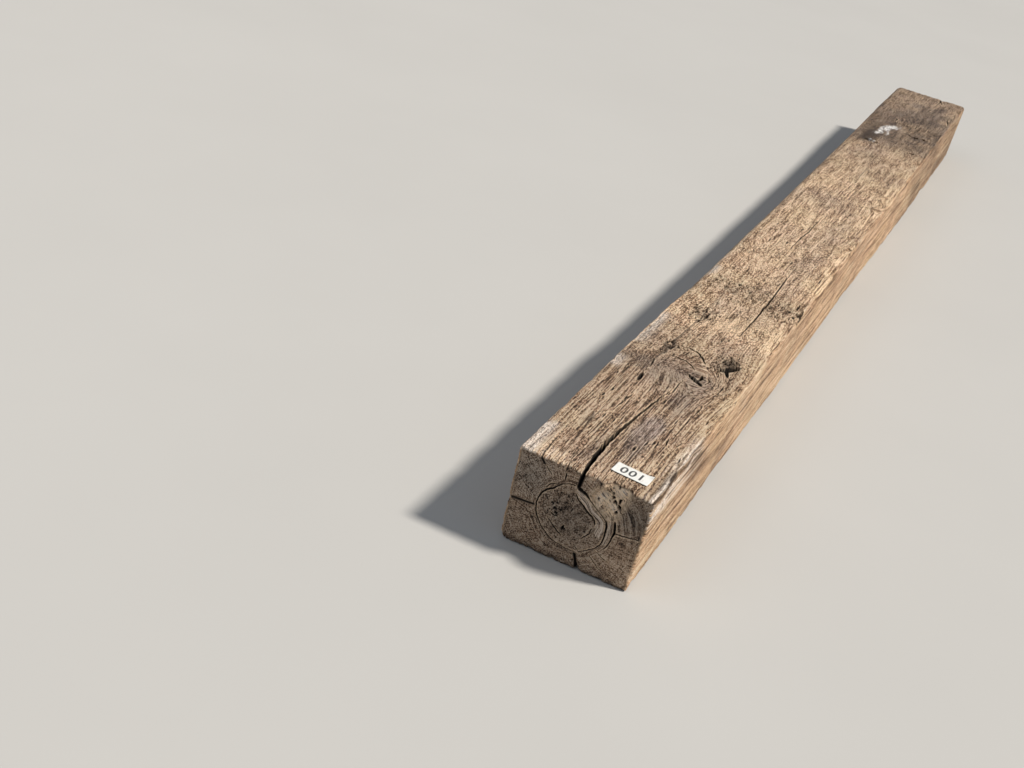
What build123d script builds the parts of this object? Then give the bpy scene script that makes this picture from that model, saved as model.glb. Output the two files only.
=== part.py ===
from build123d import *
import math
import os

# A worn hardwood railway sleeper: one sawn beam with its pith boxed inside, and a small label on it.
# X is across, Y runs from the labelled end (-Y) to the far end (+Y), and Z is up from the flat bed.
# The origin is in the middle of the bed. All lengths are in millimetres.

# The sawn beam
LENGTH = 2600
WIDTH = 200
HEIGHT = 150
LOWER_LEFT_WEAR = 22
BED_ALLOWANCE = 4

# The worn edges at stations along the beam: the distance from the labelled end, the widths of the
# top left wane and the top right wear, how far the right side leans in at its foot, and the width
# of the lower right wane
STATIONS = (
    (0, 5, 8, 6, 8),
    (200, 6, 9, 4, 20),
    (325, 7, 9, 4, 24),
    (620, 10, 11, 5, 24),
    (720, 26, 10, 4, 24),
    (975, 30, 7, 3, 26),
    (1250, 26, 7, 5, 24),
    (1400, 27, 7, 6, 9),
    (1625, 31, 8, 4, 8),
    (1950, 31, 9, 2, 9),
    (2275, 17, 10, 3, 10),
    (LENGTH, 18, 12, 4, 12),
)
WANE_DROP_PER_WIDTH = 0.8

# The two rail seats, dressed flat across the whole top
SEAT_CENTRES = 1505
SEAT_LENGTH = 330
SEAT_DEPTH = 3

# The four old spike holes in each seat
SPIKE_SPACING_ACROSS = 110
SPIKE_SPACING_ALONG = 150
SPIKE_HOLE_DIAMETER = 20
SPIKE_HOLE_DEPTH = 100

# Checks that open on the top: points of (across, distance from the labelled end, gap), and depth.
# The main check is as deep as the ring shake's top.
MAIN_CHECK = ((-5, -2, 5), (-9, 55, 7), (-10, 100, 6), (-6, 175, 4), (2, 270, 2), (11, 345, 1))
LONG_CHECK = ((34, 583, 1), (35, 650, 2), (36, 770, 2), (33, 850, 2), (31, 940, 1))
LONG_CHECK_DEPTH = 14
MIDDLE_CHECK = ((-4, 1040, 1), (-3, 1110, 1.5), (1, 1180, 1.5), (2, 1305, 1))
MIDDLE_CHECK_DEPTH = 10
LEFT_CHECK = ((-43, 300, 1), (-44, 317, 5), (-45, 335, 1.5), (-47, 397, 1))
LEFT_CHECK_DEPTH = 9
KNOT_SPLIT = ((39, 362, 4), (28, 373, 6), (15, 383, 4), (14, 390, 2))
KNOT_BRANCH = ((31, 373, 3), (31, 399, 2))
KNOT_SPLIT_DEPTH = 11

# The tear in the top right edge: points of (in from the right side, distance from the labelled end, gap)
EDGE_TEAR = ((-5, 722, 10), (4, 762, 8), (13, 800, 2))
EDGE_TEAR_DEPTH = 9

# The ring shake on the labelled end: an oval gap round the pith
RING_ACROSS = -2
RING_ABOVE_BED = 77.5
RING_WIDTH = 113
RING_HEIGHT = 102
RING_GAP = 2
RING_DEPTH = 40

# Radial checks on the labelled end, from the ring shake out to the sides and the bed.
# The heights are from the ring's middle, and the places across are from the beam's middle.
LEFT_END_CHECK_HEIGHTS = (-4.5, -9)
RIGHT_END_CHECK_HEIGHTS = (1.5, 7.5)
RIGHT_END_CHECK_FROM_SIDE = 7
BED_END_CHECK_PLACES = (13, 22)
END_CHECK_GAP = 2
BED_END_CHECK_GAP = 4
END_CHECK_DEPTH = 60

# The chip that broke out beside the ring shake, as (across, above) from the ring's middle
CHIP = ((14, 44), (24, 55), (42, 62), (59, 52), (58, 26), (49, 20), (35, 29))
CHIP_DEPTH = 7

# The label
LABEL_LENGTH = 54
LABEL_WIDTH = 26
LABEL_THICKNESS = 0.4
LABEL_ACROSS = 48.5
LABEL_FROM_END = 44
LABEL_TURN = -4

LABELLED_END = -LENGTH / 2
SEAT_LEVEL = HEIGHT - SEAT_DEPTH
SEAT_PLACES = [(0, -SEAT_CENTRES / 2), (0, SEAT_CENTRES / 2)]
RING_LEFT = RING_ACROSS - RING_WIDTH / 2
RING_RIGHT = RING_ACROSS + RING_WIDTH / 2
RING_TOP = RING_ABOVE_BED + RING_HEIGHT / 2
RING_BASE = RING_ABOVE_BED - RING_HEIGHT / 2
MAIN_CHECK_DEPTH = HEIGHT - RING_TOP + 2 * RING_GAP


def section_outline(wane, wear, inset, lower_wane):
    """Draw the beam's section at one station, with its four corners as curves."""
    left = -WIDTH / 2
    right = WIDTH / 2
    lower_right = right - inset
    wane_drop = WANE_DROP_PER_WIDTH * wane
    wear_drop = WANE_DROP_PER_WIDTH * wear
    bed = -BED_ALLOWANCE
    bed_right = lower_right - lower_wane
    right_foot = bed + lower_wane
    Line((left + LOWER_LEFT_WEAR, bed), (bed_right, bed))
    Bezier((bed_right, bed), (lower_right, bed), (lower_right, right_foot))
    Line((lower_right, right_foot), (right, HEIGHT - wear_drop))
    Bezier((right, HEIGHT - wear_drop), (right, HEIGHT), (right - wear, HEIGHT))
    Line((right - wear, HEIGHT), (left + wane, HEIGHT))
    Bezier((left + wane, HEIGHT), (left, HEIGHT), (left, HEIGHT - wane_drop))
    Line((left, HEIGHT - wane_drop), (left, bed + LOWER_LEFT_WEAR))
    Bezier((left, bed + LOWER_LEFT_WEAR), (left, bed), (left + LOWER_LEFT_WEAR, bed))


def crack_outline(path):
    """Return the closed outline of a crack from its path of (place, place, gap)."""
    one_side = []
    other_side = []
    last = len(path) - 1
    for number, (across, along, gap) in enumerate(path):
        before = path[max(number - 1, 0)]
        after = path[min(number + 1, last)]
        run = math.hypot(after[0] - before[0], after[1] - before[1])
        step_across = (after[1] - before[1]) / run * gap / 2
        step_along = (before[0] - after[0]) / run * gap / 2
        one_side.append((across + step_across, along + step_along))
        other_side.append((across - step_across, along - step_along))
    return one_side + other_side[::-1]


# The timber
with BuildPart() as sleeper_timber:
    # The beam runs straight from station to station, and its bed is then cut flat
    for from_end, *widths in STATIONS:
        with BuildSketch(Plane.XZ.offset(-LABELLED_END - from_end)):
            with BuildLine():
                section_outline(*widths)
            make_face()
    loft(ruled=True)
    split(bisect_by=Plane.XY, keep=Keep.TOP)

    # The rail seats
    with BuildSketch(Plane.XY.offset(SEAT_LEVEL)):
        with Locations(*SEAT_PLACES):
            Rectangle(2 * WIDTH, SEAT_LENGTH)
    extrude(amount=HEIGHT, mode=Mode.SUBTRACT)

    # The spike holes
    with BuildSketch(Plane.XY.offset(SEAT_LEVEL)):
        with Locations(*SEAT_PLACES):
            with GridLocations(SPIKE_SPACING_ACROSS, SPIKE_SPACING_ALONG, 2, 2):
                Circle(SPIKE_HOLE_DIAMETER / 2)
    extrude(amount=-SPIKE_HOLE_DEPTH, mode=Mode.SUBTRACT)

    # The checks, splits and tear that open on the top
    edge_tear = [(WIDTH / 2 - inward, along, gap) for inward, along, gap in EDGE_TEAR]
    top_cracks = (
        (MAIN_CHECK, MAIN_CHECK_DEPTH),
        (LONG_CHECK, LONG_CHECK_DEPTH),
        (MIDDLE_CHECK, MIDDLE_CHECK_DEPTH),
        (LEFT_CHECK, LEFT_CHECK_DEPTH),
        (KNOT_SPLIT, KNOT_SPLIT_DEPTH),
        (KNOT_BRANCH, KNOT_SPLIT_DEPTH),
        (edge_tear, EDGE_TEAR_DEPTH),
    )
    for path, depth in top_cracks:
        with BuildSketch(Plane((0, LABELLED_END, HEIGHT))):
            with BuildLine():
                Polyline(*crack_outline(path), close=True)
            make_face()
        extrude(amount=-depth, mode=Mode.SUBTRACT)

    # The ring shake
    with BuildSketch(Plane.XZ.offset(-LABELLED_END)):
        with Locations((RING_ACROSS, RING_ABOVE_BED)):
            Ellipse(RING_WIDTH / 2, RING_HEIGHT / 2)
            Ellipse(RING_WIDTH / 2 - RING_GAP, RING_HEIGHT / 2 - RING_GAP, mode=Mode.SUBTRACT)
    extrude(amount=-RING_DEPTH, mode=Mode.SUBTRACT)

    # The radial checks of the labelled end start inside the ring's gap
    left_heights = [RING_ABOVE_BED + height for height in LEFT_END_CHECK_HEIGHTS]
    left_end_check = (
        (RING_LEFT + RING_GAP / 2, left_heights[0], END_CHECK_GAP),
        (-WIDTH / 2 - END_CHECK_GAP, left_heights[1], END_CHECK_GAP),
    )
    right_heights = [RING_ABOVE_BED + height for height in RIGHT_END_CHECK_HEIGHTS]
    right_end_check = (
        (RING_RIGHT - RING_GAP / 2, right_heights[0], END_CHECK_GAP),
        (WIDTH / 2 - RIGHT_END_CHECK_FROM_SIDE, right_heights[1], END_CHECK_GAP / 2),
    )
    bed_end_check = (
        (BED_END_CHECK_PLACES[0], RING_BASE + RING_GAP, END_CHECK_GAP),
        (BED_END_CHECK_PLACES[1], -BED_END_CHECK_GAP, BED_END_CHECK_GAP),
    )
    for path in (left_end_check, right_end_check, bed_end_check):
        with BuildSketch(Plane.XZ.offset(-LABELLED_END)):
            with BuildLine():
                Polyline(*crack_outline(path), close=True)
            make_face()
        extrude(amount=-END_CHECK_DEPTH, mode=Mode.SUBTRACT)

    # The chip that broke out beside the ring shake
    chip = [(RING_ACROSS + across, RING_ABOVE_BED + above) for across, above in CHIP]
    with BuildSketch(Plane.XZ.offset(-LABELLED_END)):
        with BuildLine():
            Polyline(*chip, close=True)
        make_face()
    extrude(amount=-CHIP_DEPTH, mode=Mode.SUBTRACT)

# The label lies flat on the top
with BuildPart() as number_label:
    with BuildSketch(Plane((LABEL_ACROSS, LABELLED_END + LABEL_FROM_END, HEIGHT))):
        Rectangle(LABEL_LENGTH, LABEL_WIDTH, rotation=LABEL_TURN)
    extrude(amount=LABEL_THICKNESS)

sleeper_timber.part.label = "sleeper_timber"
number_label.part.label = "number_label"

os.makedirs("parts", exist_ok=True)
export_step(sleeper_timber.part, "parts/sleeper_timber.step")
export_step(number_label.part, "parts/number_label.step")
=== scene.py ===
import math

import bpy
import numpy as np
from mathutils import Matrix, Vector
from mathutils.geometry import delaunay_2d_cdt


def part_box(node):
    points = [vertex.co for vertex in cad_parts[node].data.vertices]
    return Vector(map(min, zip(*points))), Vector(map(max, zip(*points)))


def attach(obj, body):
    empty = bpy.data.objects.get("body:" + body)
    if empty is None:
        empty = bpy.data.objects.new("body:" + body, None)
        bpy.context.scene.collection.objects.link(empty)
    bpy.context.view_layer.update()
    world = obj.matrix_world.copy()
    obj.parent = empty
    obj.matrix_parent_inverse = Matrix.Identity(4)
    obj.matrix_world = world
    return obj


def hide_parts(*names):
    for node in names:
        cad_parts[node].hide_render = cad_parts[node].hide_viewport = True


# A worn railway sleeper: its timber is one mesh with real checks, holes and torn grain, and a label
# lies on it. Lengths are in millimetres until a mesh is made. "Along" is measured from the labelled
# end, "across" from the beam's middle, "above" from its bed, and "around" runs round the section,
# from the bottom left edge up the left side, over the top, down the right side and back underneath.

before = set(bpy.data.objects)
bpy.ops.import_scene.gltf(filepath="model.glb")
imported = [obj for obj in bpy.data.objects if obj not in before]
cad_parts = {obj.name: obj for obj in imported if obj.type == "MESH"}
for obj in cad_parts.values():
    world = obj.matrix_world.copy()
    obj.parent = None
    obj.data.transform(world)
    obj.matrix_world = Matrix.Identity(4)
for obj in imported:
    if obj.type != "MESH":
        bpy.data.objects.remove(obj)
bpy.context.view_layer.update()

MM = 0.001
beam_low, beam_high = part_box("sleeper_timber")
LENGTH = (beam_high.y - beam_low.y) / MM
WIDTH = (beam_high.x - beam_low.x) / MM
HEIGHT = (beam_high.z - beam_low.z) / MM
LABELLED_END = beam_low.y / MM
HALF_WIDTH = WIDTH / 2
GIRTH = 2 * (WIDTH + HEIGHT)

# The worn edges at stations along the beam: the distance from the labelled end, the widths of the
# top left wane and the top right wear, how far the right side leans in at its foot, and the width
# of the lower right wane
STATIONS = (
    (0, 5, 8, 6, 8),
    (200, 6, 9, 4, 20),
    (325, 7, 9, 4, 24),
    (620, 10, 11, 5, 24),
    (720, 26, 10, 4, 24),
    (975, 30, 7, 3, 26),
    (1250, 26, 7, 5, 24),
    (1400, 27, 7, 6, 9),
    (1625, 31, 8, 4, 8),
    (1950, 31, 9, 2, 9),
    (2275, 17, 10, 3, 10),
    (LENGTH, 18, 12, 4, 12),
)

# How far a worn top edge drops for its width, the wear of the lower left edge, and how much of a worn
# lower edge the flat bed takes
WANE_DROP_PER_WIDTH = 0.8
LOWER_LEFT_WEAR = 22
BED_ALLOWANCE = 4

# How the two ends are rounded, and how far their worn rims reach in from the edge and along the beam
END_ROUNDING = 2.5
RIM_REACH = 10
RIM_REACH_ALONG = 24

# The four long edges, as places around the section
TOP_LEFT = HEIGHT
TOP_MIDDLE = HEIGHT + HALF_WIDTH
TOP_RIGHT = HEIGHT + WIDTH
BED_RIGHT = 2 * HEIGHT + WIDTH
CORNERS_AROUND = (0, TOP_LEFT, TOP_RIGHT, BED_RIGHT, GIRTH)

# Seats and spike holes
SEAT_CENTRES = 1505
SEAT_LENGTH = 330
SEAT_DEPTH = 3
SEAT_MIDDLES = (LENGTH / 2 - SEAT_CENTRES / 2, LENGTH / 2 + SEAT_CENTRES / 2)
SPIKE_ACROSS = 55
SPIKE_ALONG = 75

# The heart of the tree on the labelled end, as (across, above)
PITH = (-13, 55)

# How a crack is cut: how deep its lip is, what share of its width is left below the lip, and within
# what share of its width the points of other cracks sink with it
CRACK_LIP = 2.0
WALL_SHARE = 0.85
CHANNEL_SHARE = 0.8

# Rings of a pit's wall, as shares of its radius and of its depth
PIT_RINGS = ((1.0, 0.0), (0.8, 0.75), (0.5, 1.0))

# The smallest lengths and areas that count, and the step that a direction is measured over
TINY = 1e-4
JOIN_DISTANCE = 1e-5
SMALLEST_AREA = 1e-3
OUTWARD_STEP = 5

# How high relief may stand on the long faces, the soft margin of the level place under the label, and
# the angle between faces, in degrees, that stays a sharp edge
HIGHEST_RELIEF = 3
LABEL_MARGIN = 3
SHARP_ANGLE = 50

# Seeded chance, and a lattice of random values that the noise is read from. Its places lie a step apart
CHANCE_SEED = 32
LATTICE_SEED = 11
LATTICE = 32
PLACE_STEP = 17.3
chance = np.random.default_rng(CHANCE_SEED)
lattice_values = np.random.default_rng(LATTICE_SEED).uniform(-1, 1, (LATTICE, LATTICE, LATTICE))


def side_by_side(*columns):
    """Put columns of numbers side by side, as rows of points."""
    return np.stack(np.broadcast_arrays(*columns), axis=1)


def rough(points, across, along, place, above=None):
    """Smooth noise from -1 to 1, in lumps of the given sizes. Each place has a pattern of its own.

    The lumps are as high as they are wide, unless their height is given.
    """
    scaled = points / np.array((across, along, above or across)) + PLACE_STEP * (place + 1)
    cell = np.floor(scaled).astype(int)
    part = scaled - cell
    part = part * part * (3 - 2 * part)
    total = np.zeros(len(points))
    for corner in np.ndindex(2, 2, 2):
        weight = np.where(np.array(corner) == 1, part, 1 - part).prod(axis=1)
        index = (cell + corner) % LATTICE
        total += weight * lattice_values[index[:, 0], index[:, 1], index[:, 2]]
    return total


def rise(value, low, high):
    """Ease from 0 at low to 1 at high."""
    share = np.clip((value - low) / (high - low), 0, 1)
    return share * share * (3 - 2 * share)


def between(value, low, high, blur):
    """Ease up to 1 inside the span from low to high, and back to 0 outside it."""
    return rise(value, low - blur, low + blur) * (1 - rise(value, high - blur, high + blur))


def soft_spot(points, middle, reach):
    """Give a spot that fades from 1 in its middle."""
    scaled = (points - np.array(middle)) / np.array(reach)
    return np.exp(-(scaled ** 2).sum(axis=1))


# The shape of the sawn beam
def worn_edges(along):
    """Give the widths of the top left wane, the top right wear, the lean and the lower right wane."""
    stations, *widths = np.array(STATIONS).T
    return [np.interp(along, stations, width) for width in widths]


def foot_reaches(width):
    """Give how far a worn lower edge reaches up its side, and in under the bed."""
    return width - BED_ALLOWANCE, width * (1 - np.sqrt(BED_ALLOWANCE / width)) ** 2


def round_corner(flat, around, where, corner, before, after, reach_before, reach_after):
    """Bend the points near one corner of the section onto a curve between its two sides."""
    past = around - where
    reach = np.where(past < 0, reach_before, reach_after)
    near = np.abs(past) < reach
    share = (0.5 + 0.5 * past / reach)[near]
    start = np.array(corner) - np.array(before) * np.broadcast_to(reach_before, around.shape)[near, None]
    end = np.array(corner) + np.array(after) * np.broadcast_to(reach_after, around.shape)[near, None]
    share = share[:, None]
    curve = (1 - share) ** 2 * start + 2 * share * (1 - share) * np.array(corner) + share ** 2 * end
    flat[near] = curve


def section_places(around, along):
    """Give (across, above) of points on the beam's section."""
    around = np.mod(around, GIRTH)
    corners_across = (-HALF_WIDTH, -HALF_WIDTH, HALF_WIDTH, HALF_WIDTH, -HALF_WIDTH)
    corners_above = (0, HEIGHT, HEIGHT, 0, 0)
    flat = side_by_side(np.interp(around, CORNERS_AROUND, corners_across),
                        np.interp(around, CORNERS_AROUND, corners_above))
    wane, wear, inset, lower_wane = worn_edges(along)
    left, right, up, down = (-1, 0), (1, 0), (0, 1), (0, -1)
    round_corner(flat, around, TOP_LEFT, (-HALF_WIDTH, HEIGHT), up, right, WANE_DROP_PER_WIDTH * wane, wane)
    round_corner(flat, around, TOP_RIGHT, (HALF_WIDTH, HEIGHT), right, down, wear, WANE_DROP_PER_WIDTH * wear)
    right_foot, right_under = foot_reaches(lower_wane)
    round_corner(flat, around, BED_RIGHT, (HALF_WIDTH, 0), down, left, right_foot, right_under)
    seam = np.where(around > GIRTH / 2, around, around + GIRTH)
    left_foot, left_under = foot_reaches(LOWER_LEFT_WEAR)
    round_corner(flat, seam, GIRTH, (-HALF_WIDTH, 0), left, up, left_under, left_foot)
    flat[:, 0] -= inset * (1 - flat[:, 1] / HEIGHT) * (flat[:, 0] + HALF_WIDTH) / WIDTH
    return flat


def beam_places(around, along):
    """Give the places of the beam's surface and the directions that point out of it."""
    flat = section_places(around, along)
    run = section_places(around + OUTWARD_STEP, along) - section_places(around - OUTWARD_STEP, along)
    run /= np.linalg.norm(run, axis=1)[:, None]
    places = side_by_side(flat[:, 0], LABELLED_END + along, flat[:, 1])
    return places, side_by_side(-run[:, 1], 0.0, run[:, 0])


class Sheet:
    """A flat layout of points and cracks, which is triangulated and then bent into shape."""

    def __init__(self, stretch):
        self.stretch = stretch
        self.points = []
        self.traits = []
        self.edges = []
        self.keep_out = []
        self.channels = []

    def add(self, point, sink=0.0, lip=0.0, shift=0.0):
        """Add a point that is sunk, frayed pale as a lip, or shifted round the section."""
        self.points.append(tuple(point))
        self.traits.append((sink, lip, shift))
        return len(self.points) - 1

    def add_line(self, points, sinks, lip=0.0, lean=0.0, closed=False):
        """Add a line whose edges the triangles must follow."""
        numbers = [self.add(point, sink, lip, lean * sink) for point, sink in zip(points, sinks)]
        follow = numbers[1:] + numbers[:1] if closed else numbers[1:]
        self.edges += list(zip(numbers, follow))

    def clear_points(self, points):
        """Tell which points stand clear of the cracks and holes."""
        clear = np.ones(len(points), bool)
        for centre, reach in self.keep_out:
            clear &= np.hypot(points[:, 0] - centre[0], points[:, 1] - centre[1]) > reach
        return clear

    def crossing_sinks(self, made):
        """Give each vertex's depth. Where two lines cross, the deeper one counts."""
        sinks = [self.traits[origin[0]][0] if origin else 0.0 for origin in made[3]]
        for ends, origins in zip(made[1], made[4]):
            for corner in ends:
                if made[3][corner]:
                    continue
                place = np.array(made[0][corner]) * (1, self.stretch)
                for number in origins:
                    if number >= len(self.edges):
                        continue
                    first, last = self.edges[number]
                    run = math.dist(self.points[first], self.points[last])
                    share = math.dist(self.points[first], place) / max(run, TINY)
                    depth = (1 - share) * self.traits[first][0] + share * self.traits[last][0]
                    sinks[corner] = max(sinks[corner], depth)
        return np.array(sinks)

    def open_channels(self, places, sinks):
        """Sink the points of one crack that lie inside another one, so that cracks run together."""
        for line, halves, depths in self.channels:
            widest = halves.max()
            close = (places > line.min(axis=0) - widest) & (places < line.max(axis=0) + widest)
            close = np.flatnonzero(close.all(axis=1))
            for number in range(len(line) - 1):
                run = line[number + 1] - line[number]
                offset = places[close] - line[number]
                share = np.clip(offset @ run / (run @ run), 0, 1)
                distance = np.linalg.norm(offset - share[:, None] * run, axis=1)
                half = halves[number] + share * (halves[number + 1] - halves[number])
                depth = depths[number] + share * (depths[number + 1] - depths[number])
                within = distance < CHANNEL_SHARE * half
                sinks[close[within]] = np.maximum(sinks[close[within]], depth[within])

    def triangles(self, border=None):
        """Triangulate the layout, inside the border if there is one."""
        flat = [Vector((x, y / self.stretch)) for x, y in self.points]
        faces = [] if border is None else [border]
        within_border = len(faces)
        made = delaunay_2d_cdt(flat, self.edges, faces, within_border, JOIN_DISTANCE)
        source = [origin[0] if origin else -1 for origin in made[3]]
        places = np.array([tuple(v) for v in made[0]]) * (1, self.stretch)
        traits = np.array([self.traits[number] if number >= 0 else (0, 0, 0) for number in source], float)
        traits[:, 0] = self.crossing_sinks(made)
        self.open_channels(places, traits[:, 0])
        return places, traits.T, without_outer_slivers(np.array(made[2]), places), source


def without_outer_slivers(faces, places):
    """Drop the triangles with no area that lie along the layout's outline."""
    while True:
        edges = np.concatenate([faces[:, [0, 1]], faces[:, [1, 2]], faces[:, [2, 0]]])
        names = edges.min(axis=1) * len(places) + edges.max(axis=1)
        _, place, count = np.unique(names, return_inverse=True, return_counts=True)
        outer = (count[place] == 1).reshape(3, -1).any(axis=0)
        first, second, third = (places[faces[:, corner]] for corner in range(3))
        area = np.abs(np.cross(second - first, third - first)) / 2
        slivers = outer & (area < SMALLEST_AREA)
        if not slivers.any():
            return faces
        faces = faces[~slivers]


def crack(sheet, path, depth, floor=0.5, open_start=False, open_end=False, step=5.0, wobble=0.5, taper=25,
          lean=0.0, lips=(0.5, 0.5), gape=1.0):
    """Cut a crack along a path of (place, place, gap), with steep walls down to a narrow floor.

    The lean is how far it slants round the section for each millimetre of depth. The two lips are
    frayed pale, by shares. The gape widens every gap of the path.
    """
    path = np.array(path, float)
    runs = np.hypot(*np.diff(path[:, :2], axis=0).T)
    length = np.concatenate([[0], np.cumsum(runs)])
    count = max(int(length[-1] / step), 3)
    at = np.linspace(0, length[-1], count + 1)
    line = side_by_side(np.interp(at, length, path[:, 0]), np.interp(at, length, path[:, 1]))
    half = np.interp(at, length, path[:, 2]) * gape / 2
    heading = np.gradient(line, axis=0)
    heading /= np.linalg.norm(heading, axis=1)[:, None]
    side = side_by_side(-heading[:, 1], heading[:, 0])
    if open_start:
        side[0] = (-np.sign(heading[0, 1]), 0)
    if open_end:
        side[-1] = (-np.sign(heading[-1, 1]), 0)
    bend = chance.uniform(-1, 1, count + 1) * wobble
    bend[0] = bend[-1] = 0
    line += side * bend[:, None]
    depths = np.full(count + 1, float(depth))
    taper = min(taper, length[-1] / 2)
    if not open_start:
        half[0] = 0
        depths *= rise(at, 0, taper)
    if not open_end:
        half[-1] = 0
        depths *= rise(length[-1] - at, 0, taper)
    lip_sinks = np.minimum(depths, CRACK_LIP)
    for flank, lip in zip((1, -1), lips):
        sheet.add_line(line + side * (flank * half)[:, None], depths * 0, lip)
        sheet.add_line(line + side * (flank * half * WALL_SHARE)[:, None], lip_sinks, 0, lean)
        if floor:
            sheet.add_line(line + side * (flank * half * floor)[:, None], depths, 0, lean)
    if not floor:
        sheet.add_line(line, depths, 0, lean)
    sheet.channels.append((line, half, depths))
    for place, reach in zip(line, half):
        sheet.keep_out.append((place, reach + step / 2))


def cut_cracks(sheet, cracks, turned=tuple):
    """Cut a table's cracks, each a path, a depth and settings, with the paths turned onto the sheet."""
    for path, depth, settings in cracks:
        crack(sheet, turned(path), depth, **settings)


def pit(sheet, centre, radius, depth, sides, raggedness):
    """Cut a hole with a ragged mouth and a sunk floor, which the deep mark paints in shade."""
    angles = np.arange(sides) / sides * 2 * math.pi
    radii = radius * (1 + raggedness * chance.uniform(-1, 1, sides))
    circle = side_by_side(np.cos(angles), np.sin(angles))
    for share, depth_share in PIT_RINGS:
        ring = np.array(centre) + circle * radii[:, None] * share
        sheet.add_line(ring, [depth * depth_share] * sides, closed=True)
    sheet.add(centre, depth)
    sheet.keep_out.append((centre, radius * (1 + raggedness) + 1.0))


# The cracks, holes and knots of the long faces. On the left side "around" is the same as "above"
def top_line(path):
    """Turn a path of (across, along, gap) on the top into (around, along, gap)."""
    return [(TOP_MIDDLE + across, along, gap) for across, along, gap in path]


def on_right(path):
    """Turn a path of (above, along, gap) on the right side into (around, along, gap)."""
    return [(BED_RIGHT - above, along, gap) for above, along, gap in path]


def underneath(path):
    """Turn a path of (across, along, gap) on the bed into (around, along, gap)."""
    return [(BED_RIGHT + HALF_WIDTH - across, along, gap) for across, along, gap in path]


# Small knots of the top, as (across, along, radius)
KNOTS = (
    (-50, 465, 10),
    (57, 462, 15),
    (52, 602, 11),
    (-42, 606, 13),
    (84, 2350, 18),
    (-38, 1982, 12),
    (64, 1985, 9),
    (45, 2130, 9),
    (92, 1166, 14),
    (85, 1449, 16),
    (-8, 1096, 9),
)

# The big knot, whose rings the grain follows
BIG_KNOT = (26, 388)
BIG_KNOT_RADIUS = 46
KNOT_HEART = 0.6
KNOT_SQUASH = 0.8

# The long checks of the top, as a path of (across, along, gap), a depth and how it is cut
TOP_CRACKS = (
    (((-5, 0, 6), (-9, 55, 8.4), (-10, 100, 8), (-7, 150, 6), (-4, 190, 5), (1, 250, 4), (5, 285, 3),
      (8, 315, 1)), 22, dict(open_start=True, step=4, wobble=0.9, lean=-0.08, lips=(0.7, 0.5))),
    (((9, 292, 1), (13, 310, 2.6), (11, 345, 2.4), (15, 364, 1)), 8, dict(floor=0)),
    (((34, 583, 1), (35, 650, 3.2), (36, 770, 3.6), (33, 850, 3.2), (31, 940, 1)), 14, dict(step=7)),
    (((-4, 1040, 1), (-3, 1110, 2.8), (1, 1180, 2.8), (2, 1305, 1)), 10, dict(floor=0, step=9)),
    (((-42, 300, 3), (-43, 308, 7), (-44, 324, 7), (-45, 334, 3)), 9, dict(step=3, taper=6)),
    (((-45, 336, 1), (-45, 352, 2)), 4, dict(floor=0, step=3, taper=5)),
    (((-44, 358, 1), (-46, 380, 3.6), (-50, 402, 1)), 7, dict(floor=0, step=4, taper=8)),
    (((-38, 180, 1), (-37, 212, 2.2), (-33, 246, 3.2), (-32, 258, 1)), 6, dict(floor=0, taper=8)),
    (((-67, 0, 3.4), (-70, 38, 3.0), (-71, 77, 2.4), (-73, 98, 2.0), (-76, 150, 1)), 8,
     dict(open_start=True, step=4, lean=0.85)),
    (((-29, 0, 1.2), (-32, 22, 1.2), (-33, 60, 0.8)), 5, dict(floor=0, open_start=True)),
    (((22, 0, 1.2), (23, 50, 1.2), (25, 120, 0.8)), 4, dict(floor=0, open_start=True)),
    (((45, 0, 1.2), (46, 60, 1.5), (48, 140, 0.8)), 5, dict(floor=0, open_start=True)),
    (((-85, 398, 1), (-73, 413, 1.6), (-60, 430, 1)), 4, dict(floor=0, step=4)),
    (((28, 2440, 1), (30, 2500, 1.8), (33, 2600, 2.4)), 8, dict(floor=0, open_end=True, step=12)),
    (((95, 2335, 1), (88, 2365, 5), (80, 2395, 2)), 5, dict(step=8)),
    (((45, 2535, 1), (33, 2570, 5), (26, 2595, 2)), 7, dict(step=8)),
)

# The splits and the ragged hole of the knots, and the arcs that their rings opened along
KNOT_CRACKS = (
    (((42, 358, 4), (36, 366, 10), (26, 373, 10), (17, 382, 9), (11, 391, 4)), 11,
     dict(step=2.5, wobble=0.9, taper=4)),
    (((31, 368, 3), (33, 384, 5.5), (32, 394, 6), (29, 404, 3)), 9, dict(step=2.5, wobble=0.8, taper=4)),
    (((-35, 427, 1), (-21, 431, 2), (-8, 431, 2.2), (4, 424, 2), (15, 410, 1)), 5,
     dict(floor=0, step=3, taper=8, gape=1.7)),
    (((-31, 474, 1), (-17, 478, 2.2), (0, 473, 2.4), (11, 461, 2), (22, 442, 1.4)), 5,
     dict(floor=0, step=3, taper=8, gape=1.7)),
    (((42, 360, 0.8), (46, 376, 1.4), (45, 392, 1.4), (37, 408, 0.8)), 3, dict(floor=0, step=3, gape=1.8)),
    (((69, 346, 0.8), (70, 374, 1.5), (68, 402, 0.9)), 4, dict(floor=0, step=4, gape=1.8)),
    (((60, 352, 0.8), (63, 378, 1.3), (58, 404, 0.8)), 3, dict(floor=0, step=4, gape=1.6)),
    (((54, 350, 0.8), (57, 376, 1.3), (53, 396, 0.8)), 3, dict(floor=0, step=4, gape=1.6)),
    (((45, 437, 5), (51, 445, 13), (59, 455, 16), (67, 467, 11), (70, 472, 4)), 15,
     dict(floor=0.65, step=2.5, wobble=1.2, taper=2)),
    (((64, 425, 3), (61, 434, 8), (56, 446, 8)), 10, dict(step=2.5, wobble=0.8, taper=2)),
)

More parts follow.
